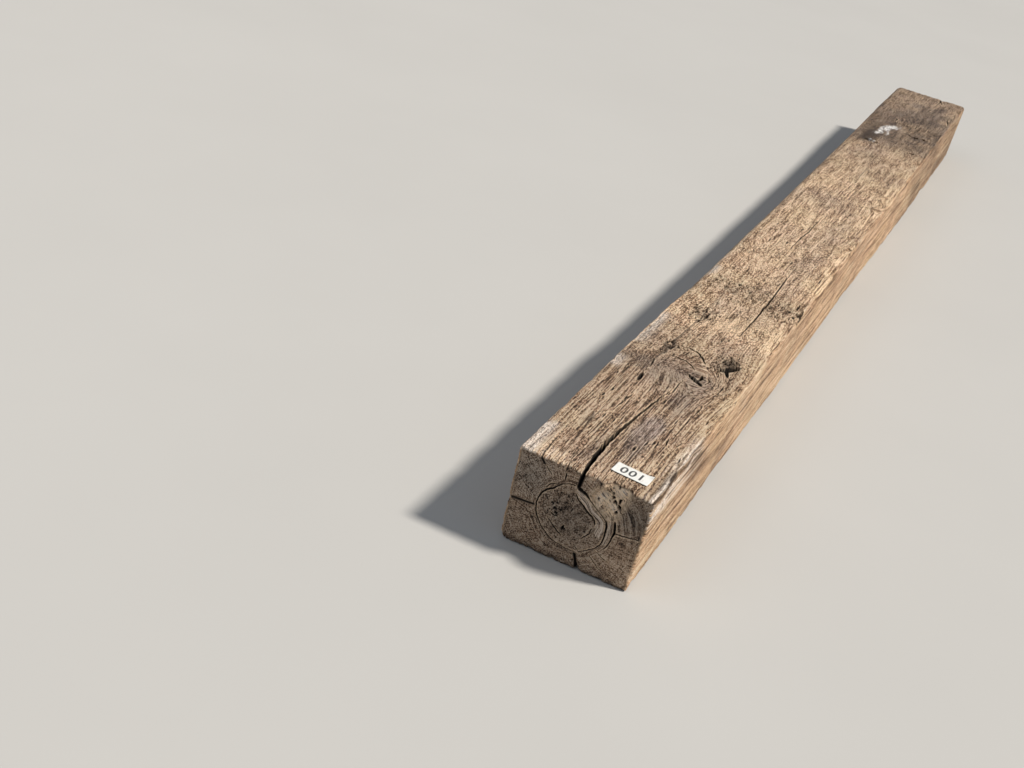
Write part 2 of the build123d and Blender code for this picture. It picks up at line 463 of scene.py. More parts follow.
# Short splits near the knots and in the torn patches, as (across, along, length, gap)
KNOT_SPLITS = (
    (-58, 602, 12, 3.2),
    (-56, 622, 10, 3.4),
    (-38, 589, 20, 2.2),
    (-33, 619, 30, 2.4),
    (-26, 615, 18, 2.0),
    (-5, 642, 9, 4.4),
    (-6, 690, 34, 1.4),
    (-4, 774, 13, 3.6),
    (-28, 795, 9, 4.6),
    (53, 765, 16, 2.6),
    (76, 754, 14, 3.0),
    (88, 735, 12, 4.6),
    (-52, 470, 12, 3.6),
    (-40, 455, 14, 3.0),
    (-44, 463, 8, 3.6),
)

EDGE_TEAR = (
    (((111, 712, 3), (106, 733, 8), (102, 752, 8), (96, 784, 3)), 8, dict(step=4, wobble=1.6, taper=9)),
    (((86, 768, 3), (83, 782, 5), (84, 800, 2)), 5, dict(floor=0, step=4, wobble=1.0, taper=5)),
)
LEFT_CRACKS = ((((68.5, 0, 2.2), (67, 40, 1.6), (66, 90, 1)), 35, dict(open_start=True, lean=0.11)),)
RIGHT_CRACKS = ((((82, 6, 1), (84, 40, 1.2), (88, 120, 1)), 8, dict(floor=0)),)
BED_CRACKS = (
    (((22, 0, 5), (23, 50, 3), (20, 130, 1)), 22, dict(open_start=True, lean=0.32, lips=(0.9, 0.4))),
)

# Pits where spikes and small knots were, as (across, along, radius, depth)
TOP_PITS = (
    (SPIKE_ACROSS + 8, SEAT_MIDDLES[1] - SPIKE_ALONG, 7, 9),
    (-SPIKE_ACROSS + 8, SEAT_MIDDLES[1] - SPIKE_ALONG, 11, 12),
    (-SPIKE_ACROSS + 28, SEAT_MIDDLES[1] - SPIKE_ALONG - 4, 8, 10),
    (SPIKE_ACROSS - 12, SEAT_MIDDLES[1] + SPIKE_ALONG, 7, 9),
    (SPIKE_ACROSS + 10, SEAT_MIDDLES[1] + SPIKE_ALONG + 4, 8, 9),
    (SPIKE_ACROSS - 26, SEAT_MIDDLES[1] + SPIKE_ALONG + 6, 5, 7),
    (94, 752, 7, 8),
    (91, 1166, 5, 5),
    (84, 1190, 3.5, 4),
)

# Patches of short splits on the top: how many, the spans along and across, and their longest length
SPLIT_PATCHES = (
    (30, (596, 664), (-66, -14), 10),
    (48, (738, 806), (-70, 26), 9),
    (12, (776, 812), (20, 60), 9),
    (28, (700, 776), (36, 97), 10),
    (12, (600, 640), (42, 68), 8),
    (26, (468, 496), (40, 68), 7),
    (12, (592, 622), (-62, -26), 6),
    (8, (458, 486), (-62, -36), 6),
    (9, (430, 482), (-60, -28), 12),
    (14, (430, 505), (28, 62), 13),
    (6, (540, 690), (-10, 30), 10),
    (14, (40, 330), (-88, -16), 24),
    (16, (60, 340), (12, 92), 30),
    (26, (830, 1900), (-70, 88), 26),
    (12, (1960, 2150), (-62, 80), 16),
    (14, (2200, 2580), (-80, 85), 40),
)


def scatter_splits(sheet):
    """Cut short splits in line with the grain, in the patches where the top is broken up."""
    for count, along_span, across_span, longest in SPLIT_PATCHES:
        for _ in range(count):
            along = chance.uniform(*along_span)
            across = chance.uniform(*across_span)
            half_length = chance.uniform(0.25, 0.5) * longest
            gap = chance.uniform(1.2, 4.2)
            drift = chance.uniform(-0.12, 0.12) * half_length
            path = [(across - drift, along - half_length, 0.5 * gap), (across, along, gap),
                    (across + drift, along + half_length, 0.5 * gap)]
            crack(sheet, top_line(path), chance.uniform(2.5, 4.5), floor=0, step=half_length / 2, wobble=0.5,
                  taper=5, lips=(0.2, 0.7))


def cut_knot_splits(sheet):
    """Cut the short splits near the knots and in the torn patches."""
    for across, along, length, gap in KNOT_SPLITS:
        path = [(across - 1, along - length / 2, gap / 2), (across, along, gap),
                (across, along + length / 2, gap / 2)]
        crack(sheet, top_line(path), 5, floor=0, step=length / 5, wobble=0.8, taper=4, gape=1.5)


def lay_out_sides():
    """Lay out the four long faces as one sheet, with their cracks and holes."""
    sheet = Sheet(stretch=2.0)
    cut_cracks(sheet, TOP_CRACKS + KNOT_CRACKS, top_line)
    cut_knot_splits(sheet)
    cut_cracks(sheet, EDGE_TEAR, top_line)
    scatter_splits(sheet)
    cut_cracks(sheet, LEFT_CRACKS)
    cut_cracks(sheet, RIGHT_CRACKS, on_right)
    cut_cracks(sheet, BED_CRACKS, underneath)
    for across, along, radius, depth in TOP_PITS:
        pit(sheet, (TOP_MIDDLE + across, along), radius, depth, sides=12, raggedness=0.45)
    return sheet


# The distances between the rows of points at places along the beam, the extra rows beside the rims,
# how many points each face has in a row at either end, how far they are scattered along their row,
# and how near the rims the rows stay straight
ROW_STATIONS = (0, 830, 1300, 2600)
ROW_SPACINGS = (4.2, 4.5, 9, 11)
RIM_ROWS = np.array([0.7, 1.8])
NEAR_COUNTS = (34, 108, 54, 26)
FAR_COUNTS = (26, 62, 38, 22)
ROW_SCATTER = 0.22
STRAIGHT_REACH = 3


def fill_sides(sheet):
    """Scatter rows of points over the long faces, closer together near the labelled end."""
    measured = np.linspace(0, LENGTH, round(LENGTH) + 1)
    passed = np.concatenate([[0], np.cumsum(1 / np.interp(measured[1:], ROW_STATIONS, ROW_SPACINGS))])
    along_rows = np.interp(np.linspace(0, passed[-1], round(passed[-1]) + 1), passed, measured)
    along_rows = np.sort(np.concatenate([along_rows, RIM_ROWS, LENGTH - RIM_ROWS]))
    found = []
    for number, along in enumerate(along_rows):
        share = along / LENGTH
        rim = along in (0, LENGTH)
        around_row = []
        faces = zip(CORNERS_AROUND, CORNERS_AROUND[1:], NEAR_COUNTS, FAR_COUNTS)
        for start, end, near_count, far_count in faces:
            count = round(near_count * (1 - share) + far_count * share)
            around_row.append(np.linspace(start, end, count + 1)[:-1])
        around_row = np.concatenate(around_row)
        if not rim:
            gaps = np.diff(np.append(around_row, GIRTH))
            shift = 0.5 * (number % 2) + chance.uniform(-ROW_SCATTER, ROW_SCATTER, len(around_row))
            around_row[1:] += (gaps * shift)[1:] * (around_row[1:] > 1)
        along_row = np.full(len(around_row), along)
        if not rim and STRAIGHT_REACH < along < LENGTH - STRAIGHT_REACH:
            slack = 0.25 * np.interp(along, ROW_STATIONS, ROW_SPACINGS)
            along_row[1:] += chance.uniform(-slack, slack, len(around_row) - 1)
        row = side_by_side(around_row, along_row)
        found.append(row[row[:, 0] < GIRTH - 1.0])
        found.append(np.array([[GIRTH, along]]))
    points = np.concatenate(found)
    seam = (points[:, 0] == 0) | (points[:, 0] == GIRTH)
    clear = sheet.clear_points(points)
    for point in points[clear | seam]:
        sheet.add(point)


def knot_push(offset, along_offset, radius):
    """Give how far across a knot pushes the grain: it flows round the knot, with rings inside."""
    distance = np.hypot(offset, along_offset)
    flowing = -offset * (radius / np.maximum(distance, radius)) ** 2
    return np.where(distance > radius, flowing, distance - radius - offset)


def grain_places(places, along):
    """Bend the grain round the knots of the top, as places to draw the fibres by."""
    grain = places.copy()
    near_top = np.exp(-((HEIGHT - places[:, 2]) / 30) ** 2)
    wander = 5 * rough(places, 40, 60, 35)
    for across, knot_along, radius in (*KNOTS, (*BIG_KNOT, BIG_KNOT_RADIUS)):
        offset = places[:, 0] - across + wander
        push = knot_push(offset, KNOT_SQUASH * (along - knot_along) + wander, KNOT_HEART * radius)
        grain[:, 0] += push * near_top
    grain[:, 0] += 6 * rough(places, 90, 450, 1)
    grain[:, 2] += 6 * rough(places, 90, 450, 2)
    return grain


# Where the torn top begins along the beam, and where it gets weaker towards the right edge
TORN_START = (305, 385)
TORN_EDGE = (72, 92)

# Torn patches of the top, as spans along and spans across
TORN_PATCHES = (
    (735, 812, -74, 26),
    (596, 664, -68, -14),
    (700, 780, 36, 98),
    (432, 500, 30, 66),
    (430, 484, -62, -28),
)

# Smooth pale patches of the top, as (across, along), the reaches both ways and how pale
PALE_PATCHES = (
    ((8, 612), (28, 30), 1.0),
    ((2, 690), (16, 16), 0.45),
    ((90, 728), (9, 18), 0.6),
    ((70, 640), (22, 40), 0.3),
)


def pale_patches(places, along):
    """Tell how pale the smooth patches of the top are."""
    ragged = 5 * rough(places, 9, 16, 43)
    spots = side_by_side(places[:, 0] + ragged, along + 2 * ragged)
    return np.max([share * soft_spot(spots, middle, reach) for middle, reach, share in PALE_PATCHES], axis=0)


def torn_zone(places, along):
    """Tell how torn the top is, from 0 to 1."""
    ragged = 16 * rough(places, 28, 34, 5)
    patches = rise(rough(places, 45, 60, 36), -0.2, 0.5)
    torn = rise(along + ragged, *TORN_START) * (0.42 + 0.2 * patches)
    torn *= 1 - 0.6 * rise(places[:, 0] + 0.5 * ragged, *TORN_EDGE)
    for along_low, along_high, across_low, across_high in TORN_PATCHES:
        patch = between(along + ragged, along_low, along_high, 14)
        patch *= between(places[:, 0] + 0.6 * ragged, across_low, across_high, 7)
        torn = np.maximum(torn, patch)
    return torn * (1 - pale_patches(places, along))


def facing_up(outward, start=0.5):
    """Tell how far the surface faces up. It counts as the top more and more above the start."""
    return rise(outward[:, 2], start, start + 0.4)


def weathering(places, outward, along, grain):
    """Give how far the worn surface stands out from the sawn beam, in millimetres."""
    up = facing_up(outward)
    under = facing_up(-outward)
    flank = 1 - up - under
    fibres = rough(grain, 4.5, 130, 3)
    grooves = -rise(1 - np.abs(fibres) * 4, 0, 1)
    ridges = rough(grain, 3.0, 60, 4)
    swell = rough(places, 70, 300, 6)
    waves = rough(places, 25, 90, 7)
    height = up * (0.75 * grooves + 0.45 * ridges + 0.6 * waves) + 0.8 * swell - 0.5
    height += flank * (0.3 * grooves + 0.2 * ridges + 0.5 * waves)
    height += under * (0.4 * waves - 2.2 * rise(rough(places, 20, 24, 8), 0.3, 0.8))
    torn = up * torn_zone(places, along)
    shreds = rough(places, 5, 10, 9)
    height += torn * 0.8 * shreds - rise(torn, 0.5, 1) * 2.4 * rise(rough(places, 7, 9, 10), 0.25, 0.5)
    return height


def seat_relief(places, outward, along):
    """Give how deep the rail seats are pressed into the top, in millimetres."""
    up = facing_up(outward)
    depth = np.zeros(len(along))
    for middle in SEAT_MIDDLES:
        edge = 6 * rough(places, 25, 400, 12)
        pressed = between(along + edge, middle - SEAT_LENGTH / 2, middle + SEAT_LENGTH / 2, 9)
        depth += SEAT_DEPTH * up * pressed
    return depth


# How deep the chips of each long edge are, how deep its nibbles are, and over what reach both fade. And
# the frayed near part of the top right edge: how it fades round the section and along
ARRISES = ((TOP_LEFT, 6.0), (TOP_RIGHT, 4.0), (BED_RIGHT, 4.0), (0, 4.0))
NIBBLE_DEPTH = 1.4
ARRIS_REACH = (2, 16)
FRAYED_AROUND = (6, 45)
FRAYED_ALONG = (90, 210)

# Where the rim above the chip is worn back, as spans across and above, and how far
WORN_BACK_ACROSS = (30, 64)
WORN_BACK_ABOVE = (120, 138)
WORN_BACK = 11


def worn_arrises(places, around, along):
    """Give how much is broken away along the four long edges, in millimetres."""
    loss = np.zeros(len(along))
    for number, (edge, chip_depth) in enumerate(ARRISES):
        reach = np.abs(np.mod(around - edge + GIRTH / 2, GIRTH) - GIRTH / 2)
        near = 1 - rise(reach, *ARRIS_REACH)
        chips = rise(rough(places, 60, 28, 13 + number), 0.3, 0.75)
        nibbles = rise(rough(places, 60, 9, 18 + number), 0.1, 0.7)
        loss += near * (chip_depth * chips + NIBBLE_DEPTH * nibbles)
    frayed = (1 - rise(np.abs(around - TOP_RIGHT), *FRAYED_AROUND)) * (1 - rise(along, *FRAYED_ALONG))
    loss += frayed * (1.2 + 1.6 * rough(places, 4, 35, 23))
    return loss


def rim_wear(places, labelled):
    """Give how far the rims of the two ends are worn back, in millimetres, most of all above the chip."""
    flat = places * (1, 0, 1)
    wear = 3.2 * rise(rough(flat, 8, 8, 40), 0.0, 0.6) + 1.3 * rise(rough(flat, 3, 3, 41), 0.0, 0.6)
    above_chip = between(places[:, 0], *WORN_BACK_ACROSS, 6) * rise(places[:, 2], *WORN_BACK_ABOVE) * labelled
    return wear * (1 - above_chip) + above_chip * (WORN_BACK + 2.4 * rough(flat, 3, 3, 44))


def rounded_ends(along):
    """Give how far the surface draws in beside the two ends."""
    beside = np.minimum(along, LENGTH - along)
    part = np.clip(1 - beside / END_ROUNDING, 0, 1)
    return END_ROUNDING * (1 - np.sqrt(1 - part ** 2))


# Outlines on the labelled end, as (across, above): the chip, the core inside the ring shake, two bands
# of growth rings beside the shake, and the shake itself
CHIP = ((11, 119), (19, 131), (29, 140), (34, 153), (63, 153), (63, 136), (58, 119), (54, 103), (47, 97),
        (37, 101), (25, 108), (14, 113))
CORE = ((-9, 116), (-3, 107), (7, 100), (13, 94.5), (22, 90), (27, 85), (28.5, 77), (26, 66), (17, 54),
        (2, 44), (-12, 43), (-22, 47), (-34, 58), (-42, 68), (-45, 80), (-41, 96), (-30, 109), (-18, 116))
RING_BAND = ((-9, 117), (-6, 123.5), (3, 118.5), (13, 110.5), (24, 103), (34, 96), (40.5, 90), (42.5, 84),
             (43, 72), (38, 62), (30, 66), (29.5, 77), (28, 85.5), (22.5, 91), (13.8, 95.5), (7.5, 101),
             (-2.5, 108))
OUTER_BAND = ((46, 96), (52, 97), (54.5, 84), (54, 68), (49, 54), (44, 54), (46, 68), (45.5, 84))
RING_SHAKE = ((-3.6, 125.8), (8, 119), (24, 105), (41.5, 91.5), (44.3, 77), (42.5, 55), (27, 38.3),
              (12, 27.3), (-13, 29), (-31.7, 35), (-46.7, 48.3), (-56, 65), (-57.5, 85), (-48.3, 102.5),
              (-36, 112.5), (-20, 124.6), (-9.6, 126.3))

# How high the chip's sloping floor starts and ends, how deep it starts and how much deeper it gets, the
# direction from the pith to it, and how far the core is sunk on that side
CHIP_FOOT = 98
CHIP_TOP = 150
CHIP_DEPTH = 2.0
CHIP_DEEPENING = 10
TOWARDS_CHIP = (0.7, 0.7)
CORE_SINK = 2.2

# The frayed wood above the chip, as spans across and above, and the patch where rings show in the top
# right corner, as (across, above) and the reaches both ways
FRAYED_ACROSS = (34, 64)
FRAYED_ABOVE = (126, 142)
CORNER_RINGS = ((80, 112), (30, 26))

# Where the main check's floor meets the rim, and how near that place the rim's points are looked for
MAIN_CHECK_FOOT = (-7, 125)
CHECK_FOOT_REACH = 6

# The ring shake's two arms, which open from the main check's foot, as (across, above, gap)
RIGHT_ARM = ((3, 120.8, 3.8), (8, 117.6, 2.8), (14, 112, 1.4), (24, 105, 1.1), (34, 98, 1.1),
             (41.5, 91.5, 1.6), (43.5, 86.5, 2.6), (44.3, 77, 2), (44.2, 65, 1.4), (42.5, 55, 1.3),
             (37.5, 46.7, 1.2), (27, 38.3, 1.1), (18.3, 32.5, 1), (14.5, 29, 0.8))
LEFT_ARM = ((-20, 124.6, 1), (-30, 119.5, 1.2), (-36, 112.5, 1.2), (-41, 108, 2.2), (-48.3, 102.5, 1.9),
            (-54.2, 95, 1.6), (-57.5, 85, 1.5), (-58.3, 75, 1.5), (-56, 65, 1.5), (-51.7, 56, 1.5),
            (-46.7, 48.3, 1.4), (-40, 41.7, 1.4), (-31.7, 35, 1.4), (-23.3, 30.8, 1.2), (-13, 29, 1),
            (-5, 27.5, 1), (5, 26.5, 0.8), (12, 27.3, 1))

# The other checks of the labelled end, and the plain drying checks of the far end, as a path of
# (across, above, gap), a depth and how it is cut
END_CRACKS = (
    (((53, 99, 1), (54.2, 93.3, 2.6), (55.8, 86.7, 2.8), (56.6, 80, 2.6), (55, 72, 1.5), (54, 65, 1.3),
      (51, 55, 1.3), (47, 49, 0.8)), 9, dict(step=2.4, wobble=0.2, taper=5, lips=(0.8, 0.3), gape=1.5)),
    (((57, 79.8, 1.7), (68.3, 81.3, 1.7), (78.3, 83.3, 1.5), (92, 84.8, 1.2)), 14,
     dict(step=2.6, wobble=0.5, taper=3, lips=(0.2, 1.0), gape=1.4)),
    (((-9, 115.5, 1), (-3.3, 107, 2.2), (6.7, 100, 3.2), (13.3, 94.5, 3.6), (21.7, 90, 3.2), (26.5, 85, 2.2),
      (28.3, 77, 1.2)), 6, dict(step=2.4, wobble=0.6, taper=8, lips=(0.9, 0.0), gape=1.4)),
)
FAR_CRACKS = (
    (((-10, 60, 1), (-35, 72, 2.2), (-78, 88, 1.2)), 9, dict(floor=0, step=5)),
    (((-12, 52, 1), (18, 40, 2), (58, 24, 1)), 8, dict(floor=0, step=5)),
    (((-9, 64, 1), (4, 96, 2.4), (12, 132, 1.4)), 10, dict(floor=0, step=5)),
    (((-38, 88, 1), (-45, 70, 1.6), (-38, 48, 1.4), (-22, 36, 1)), 6, dict(floor=0, step=4)),
)

# Short splits of the labelled end, as a path of (across, above, gap) and a depth
END_SPLITS = (
    (((-40, 65, 0.8), (-32, 57, 1.3), (-20, 47, 1.8), (-12, 44, 1)), 4),
    (((25, 74, 0.8), (23.3, 63.3, 1.2), (13.3, 50, 0.8)), 3),
    (((-13, 53, 2), (-14, 57, 2.4), (-12, 62, 1)), 6),
    (((-37, 73, 1), (-31, 69, 1.6), (-24, 70, 1)), 4),
    (((-57.6, 137.8, 1), (-53.3, 132.5, 1.2), (-45, 125.8, 0.9)), 4),
    (((-28.2, 138.6, 1.2), (-27.2, 133, 1.5), (-26, 126, 1)), 4),
    (((-36, 119, 0.8), (-45, 113, 1.1), (-52, 104, 0.8)), 2.5),
    (((-33, 36, 0.8), (-37, 28, 0.9)), 3),
    (((-18, 30, 0.7), (-19, 21, 0.8)), 2.5),
    (((38, 43, 0.8), (48, 37, 1), (60, 33, 0.6)), 3),
    (((30, 34, 0.8), (42, 23, 1), (52, 15, 0.7)), 2.5),
    (((5, 40, 0.8), (12, 34, 1), (17, 30, 0.8)), 2.5),
)

# Pits of the labelled end, as (across, above, radius, depth)
END_PITS = (
    (-32, 80, 3.2, 5),
    (-27.5, 73.5, 2.8, 4),
    (-36, 86, 2.2, 4),
    (-23, 81, 2.2, 4),
    (-29, 89, 2.0, 3),
    (-38, 76, 1.6, 3),
    (-14, 55, 3.2, 6),
    (-8, 86, 1.5, 3),
    (-18, 94, 1.6, 3),
    (16, 62, 1.6, 3),
    (-27, 52, 1.5, 3),
    (41, 126, 3.2, 7),
    (46, 121, 3.2, 8),
    (50.5, 125, 3.4, 8),
    (52.5, 117, 3.6, 9),
    (50.5, 109.5, 2.8, 7),
    (39, 132, 2.2, 5),
    (22, 117, 1.6, 5),
    (33, 112, 1.8, 5),
)

# Clusters of small pits on the labelled end, as (across, above), how far they scatter and how many
PIT_CLUSTERS = (
    ((-32, 82), (9, 9), 34),
    ((-18, 100), (12, 6), 12),
    ((14, 72), (8, 10), 16),
    ((-22, 60), (12, 8), 16),
    ((44, 118), (9, 7), 14),
    ((60, 120), (6, 8), 8),
)


def sides_of(outline):
    """Give where the sides of a closed outline start and end."""
    starts = np.array(outline, float)
    return starts, np.roll(starts, -1, axis=0)


def inside(points, starts, ends):
    """Tell which points lie inside the closed loops that sides make, from their starts to their ends."""
    found = np.zeros(len(points), bool)
    for start, end in zip(starts, ends):
        crosses = (start[1] > points[:, 1]) != (end[1] > points[:, 1])
        slope = (end[0] - start[0]) / (end[1] - start[1] or TINY)
        found ^= crosses & (points[:, 0] < start[0] + slope * (points[:, 1] - start[1]))
    return found


def outline_reach(points, outline):
    """Give each point's distance to an outline's sides."""
    nearest = np.full(len(points), np.inf)
    for start, end in zip(*sides_of(outline)):
        run = end - start
        share = np.clip(((points - start) @ run) / max(run @ run, TINY ** 2), 0, 1)
        nearest = np.minimum(nearest, np.linalg.norm(points - start - share[:, None] * run, axis=1))
    return nearest


def depth_inside(points, outline):
    """Give how far each point lies inside a closed outline, below 0 outside it."""
    return np.where(inside(points, *sides_of(outline)), 1, -1) * outline_reach(points, outline)


def check_foot(outline):
    """Find where the main check's floor meets the rim of the labelled end."""
    near = outline[np.hypot(*(outline - MAIN_CHECK_FOOT).T) < CHECK_FOOT_REACH]
    return near[np.argsort(near[:, 1])[:2]].mean(axis=0)


def lay_out_labelled_end(sheet, outline):
    """Lay out the ring shake, the radial checks, the chip's holes and the pits round the pith."""
    across, above = check_foot(outline)
    right_start = ((across, above - 0.8, 3.4), (across + 1.6, above - 2.2, 3.4))
    left_start = ((across - 3.4, above + 0.6, 1.4),)
    crack(sheet, right_start + RIGHT_ARM, 12, step=2.4, wobble=0.3, taper=2, lips=(0.2, 0.9), gape=1.45,
          open_start=True)
    crack(sheet, left_start + LEFT_ARM, 12, step=2.4, wobble=0.4, taper=2, lips=(0.7, 0.2), gape=1.6)
    cut_cracks(sheet, END_CRACKS)
    for path, depth in END_SPLITS:
        crack(sheet, path, depth, floor=0, step=2.4, wobble=0.5, taper=5, gape=1.7)
    for across, above, radius, depth in END_PITS:
        pit(sheet, (across, above), radius, depth, sides=9, raggedness=0.5)
    for middle, scatter, count in PIT_CLUSTERS:
        for across, above in chance.normal(middle, scatter, (count, 2)):
            radius = chance.uniform(0.7, 1.5)
            apart = [math.dist((across, above), centre) - reach - radius for centre, reach in sheet.keep_out]
            if min(apart) > 0.5:
                pit(sheet, (across, above), radius, 2.5, sides=6, raggedness=0.5)


# Sectors of the labelled end, as (across, above), the reaches both ways, how dull and how grey
END_SECTORS = (
    ((-76, 114), (34, 34), 0.22, 0.9),
    ((-80, 46), (26, 34), 0.16, 0.3),
    ((80, 114), (30, 27), 0.42, 0.7),
    ((-8, 76), (48, 42), 0.36, 0.6),
    ((20, 12), (60, 14), 0.10, 0.2),
)

# Painted highlights of sunlit splinters on the chip's torn wood, as (across, above) and the reaches both ways
SPLINTER_HIGHLIGHTS = (
    ((25, 123), (8, 9)),
    ((43, 113), (6, 5)),
    ((50, 138), (9, 7)),
)

# The radii that angles round the pith are measured at, for the rays and for the rings, how far the
# points of an end reach from the pith, and the distances between them on the labelled and the far end
RAY_RADIUS = 40
RING_RADIUS = 50
END_REACH = 170
END_SPACING = 1.9
FAR_SPACING = 5.0


def end_rings(points):
    """Give places measured across the growth rings and along them, as the ring shake shows them."""
    core = depth_inside(points, CORE)
    across_rings = np.where(core > 0, -core, -depth_inside(points, RING_SHAKE))
    across_rings += 1.6 * rough(side_by_side(*points.T, 0.0), 10, 10, 42)
    offset = points - np.array(PITH)
    return side_by_side(across_rings, 0.0, RING_RADIUS * np.arctan2(offset[:, 1], offset[:, 0]))


def end_relief(points, labelled):
    """Give how far the end grain stands out, in millimetres, and its marks."""
    offset = points - np.array(PITH)
    flat = side_by_side(*points.T, 0.0)
    polar = side_by_side(np.arctan2(offset[:, 1], offset[:, 0]) * RAY_RADIUS, np.hypot(*offset.T), 0.0)
    height = 0.45 * rough(polar, 2.4, 26, 24) + 0.5 * rough(flat, 14, 14, 25)
    height += 0.8 * rough(flat, 45, 45, 26)
    marks = {name: np.zeros(len(points)) for name in ("fresh", "dull", "grey", "silver", "ringed")}
    if not labelled:
        return height, marks
    chip = depth_inside(points, CHIP) + 2 * rough(flat, 5, 5, 27)
    core = depth_inside(points, CORE)
    band = rise(depth_inside(points, RING_BAND), 0, 1.5)
    outer_band = rise(depth_inside(points, OUTER_BAND), 0, 1.5)
    broken = rise(chip, 0, 4)
    ringwise = end_rings(points)
    slope = np.clip((points[:, 1] - CHIP_FOOT) / (CHIP_TOP - CHIP_FOOT), 0, 1)
    splintered = 1.6 * rough(flat, 6, 6, 28) + 2.4 * rough(ringwise, 2.4, 7, 29, above=9)
    height -= broken * (CHIP_DEPTH + CHIP_DEEPENING * slope + splintered)
    height -= CORE_SINK * rise(core, 0, 4) * rise(offset @ np.array(TOWARDS_CHIP), 0, 32)
    height += 0.9 * band + 0.6 * outer_band
    crumbled = rise(core, 0, 12) * rise(rough(flat, 4, 4, 34), 0.15, 0.6)
    height -= 1.4 * crumbled
    # Painted highlights: these spots make the chip's torn wood paler and more silvery, standing in for sunlit
    # splinters
    splinter_highlight = np.max([soft_spot(points, *splinter) for splinter in SPLINTER_HIGHLIGHTS], axis=0)
    frayed = between(points[:, 0], *FRAYED_ACROSS, 5) * rise(points[:, 1], *FRAYED_ABOVE)
    marks["fresh"] = np.maximum(broken * (0.85 + 0.15 * splinter_highlight), 0.4 * rise(chip, -9, 0))
    marks["fresh"] = np.maximum(marks["fresh"], 0.8 * frayed)
    # The silver mark: weathered silver on the ring bands, and a painted highlight on the chip's splinters
    marks["silver"] = 0.4 * band + 0.25 * outer_band + broken * splinter_highlight
    for middle, reach, dull, grey in END_SECTORS:
        spot = soft_spot(points, middle, reach) ** 0.6
        marks["dull"] = np.maximum(marks["dull"], dull * spot)
        marks["grey"] = np.maximum(marks["grey"], grey * spot)
    marks["dull"] *= 1 - np.maximum(marks["fresh"], band)
    marks["dirt"] = crumbled * 0.6
    beside_shake = 0.5 * between(ringwise[:, 0], 1, 16, 4)
    corner_rings = 0.75 * soft_spot(points, *CORNER_RINGS) ** 0.6
    everywhere = np.full(len(points), 0.25)
    marks["ringed"] = np.max([everywhere, band, 0.9 * outer_band, beside_shake, corner_rings], axis=0)
    return height, marks


def end_points(outline, spacing):
    """Scatter points in rings round the pith, inside the end's outline."""
    found = []
    for number in range(int(END_REACH / spacing)):
        radius = spacing * (number + 0.5)
        count = max(int(2 * math.pi * radius / spacing), 5)
        angles = (np.arange(count) + chance.uniform(0, 1)) / count * 2 * math.pi
        radii = radius + chance.uniform(-0.3, 0.3, count) * spacing
        found.append(side_by_side(PITH[0] + radii * np.cos(angles), PITH[1] + radii * np.sin(angles)))
    points = np.concatenate(found)
    points = points[inside(points, *sides_of(outline))]
    return points[outline_reach(points, outline) > spacing * 0.6]


class Skin:
    """The timber's vertices, faces and surface marks, gathered face by face."""

    MARKS = ("deep", "lip", "end", "flank", "torn", "stain", "silver", "fresh", "grey", "dull", "dirt",
             "splash", "knot", "ringed")

    def __init__(self):
        self.places = []
        self.grain = []
        self.marks = {name: [] for name in self.MARKS}
        self.faces = []

    def add(self, places, grain, **marks):
        """Add vertices with their marks, and return the first one's number."""
        first = sum(len(part) for part in self.places)
        self.places.append(places)
        self.grain.append(grain)
        for name in self.MARKS:
            self.marks[name].append(np.broadcast_to(marks.get(name, 0.0), len(places)).astype(float))
        return first


# How much darker the top and the sides are than fresh wood, at places along the beam
TOP_DULLNESS = ((0, 0.28), (30, 0.34), (330, 0.33), (372, 0.25), (540, 0.2), (572, 0), (645, 0), (664, 0.1),
                (800, 0.1), (860, 0.01), (1560, 0.02), (1680, 0.18), (1930, 0.24), (2010, 0.3), (2250, 0.3),
                (2330, 0.26), (2600, 0.26))
SIDE_DULLNESS = ((0, 0.08), (200, 0.12), (600, 0.1), (800, 0.06), (1750, 0.04), (1900, 0.27), (2600, 0.29))

# Sooty patches of the top, as (across, along), the reaches both ways and how dark
SOOT = (
    (-56, 2000, 26, 66, 1.0),
    (-68, 2110, 16, 70, 0.6),
    (40, 2130, 20, 50, 0.35),
    (70, 2050, 20, 40, 0.35),
    (-20, 2060, 26, 24, 0.35),
    (55, 474, 16, 22, 0.9),
)

# Silvery stretches of the top left edge, how far in from the edge they lie and how far they reach. And
# the silvery near left corner of the top: how it fades along and across
SILVER_STRETCHES = ((-40, 90), (326, 362), (438, 575), (800, 850))
SILVER_INSET = 7
SILVER_REACH = 10
SILVER_CORNER_ALONG = (12, 40)
SILVER_CORNER_ACROSS = (-70, -10)

# Places along the beam: where the oily stain begins and where it thins out, and the golden stretch of
# the top. Places across: where the fresher strip along the right edge begins
STAIN_START = (1930, 2030)
STAIN_THINS = (2200, 2300)
GOLDEN_STRETCH = (480, 1950)
FRESH_STRIP = (58, 95)

# The frayed top right edge: where it starts on the top, ends on the side, and ends along the beam
FRAYED_TOP = (-24, -4)
FRAYED_SIDE = (25, 60)
FRAYED_END = (110, 240)

# The grey patch beside the label, as (across, along) and the reaches both ways
GREY_PATCH = ((18, 150), (26, 110))

# White splashes near the far end, as (across, along), the reaches both ways and the slant
SPLASHES = (
    ((-42, 2085), (8, 26), 0.08),
    ((-36, 2122), (13, 20), 0.10),
    ((-20, 2158), (14, 20), 0.32),
    ((-22, 2088), (5, 16), 0.0),
    ((-46, 1986), (4, 6), 0.0),
    ((-38, 1978), (3, 5), 0.0),
)


def splashed(places, along):
    """Tell where white splashes lie, in ragged lobes."""
    ragged = 0.45 * rough(places, 7, 22, 37) + 0.5 * rough(places, 4, 12, 38)
    found = np.zeros(len(along))
    for (across, splash_along), (reach_across, reach_along), slant in SPLASHES:
        past = along - splash_along
        reach = np.hypot((places[:, 0] - across - slant * past) / reach_across, past / reach_along)
        found = np.maximum(found, 1 - rise(reach + ragged, 0.7, 1.15))
    return found


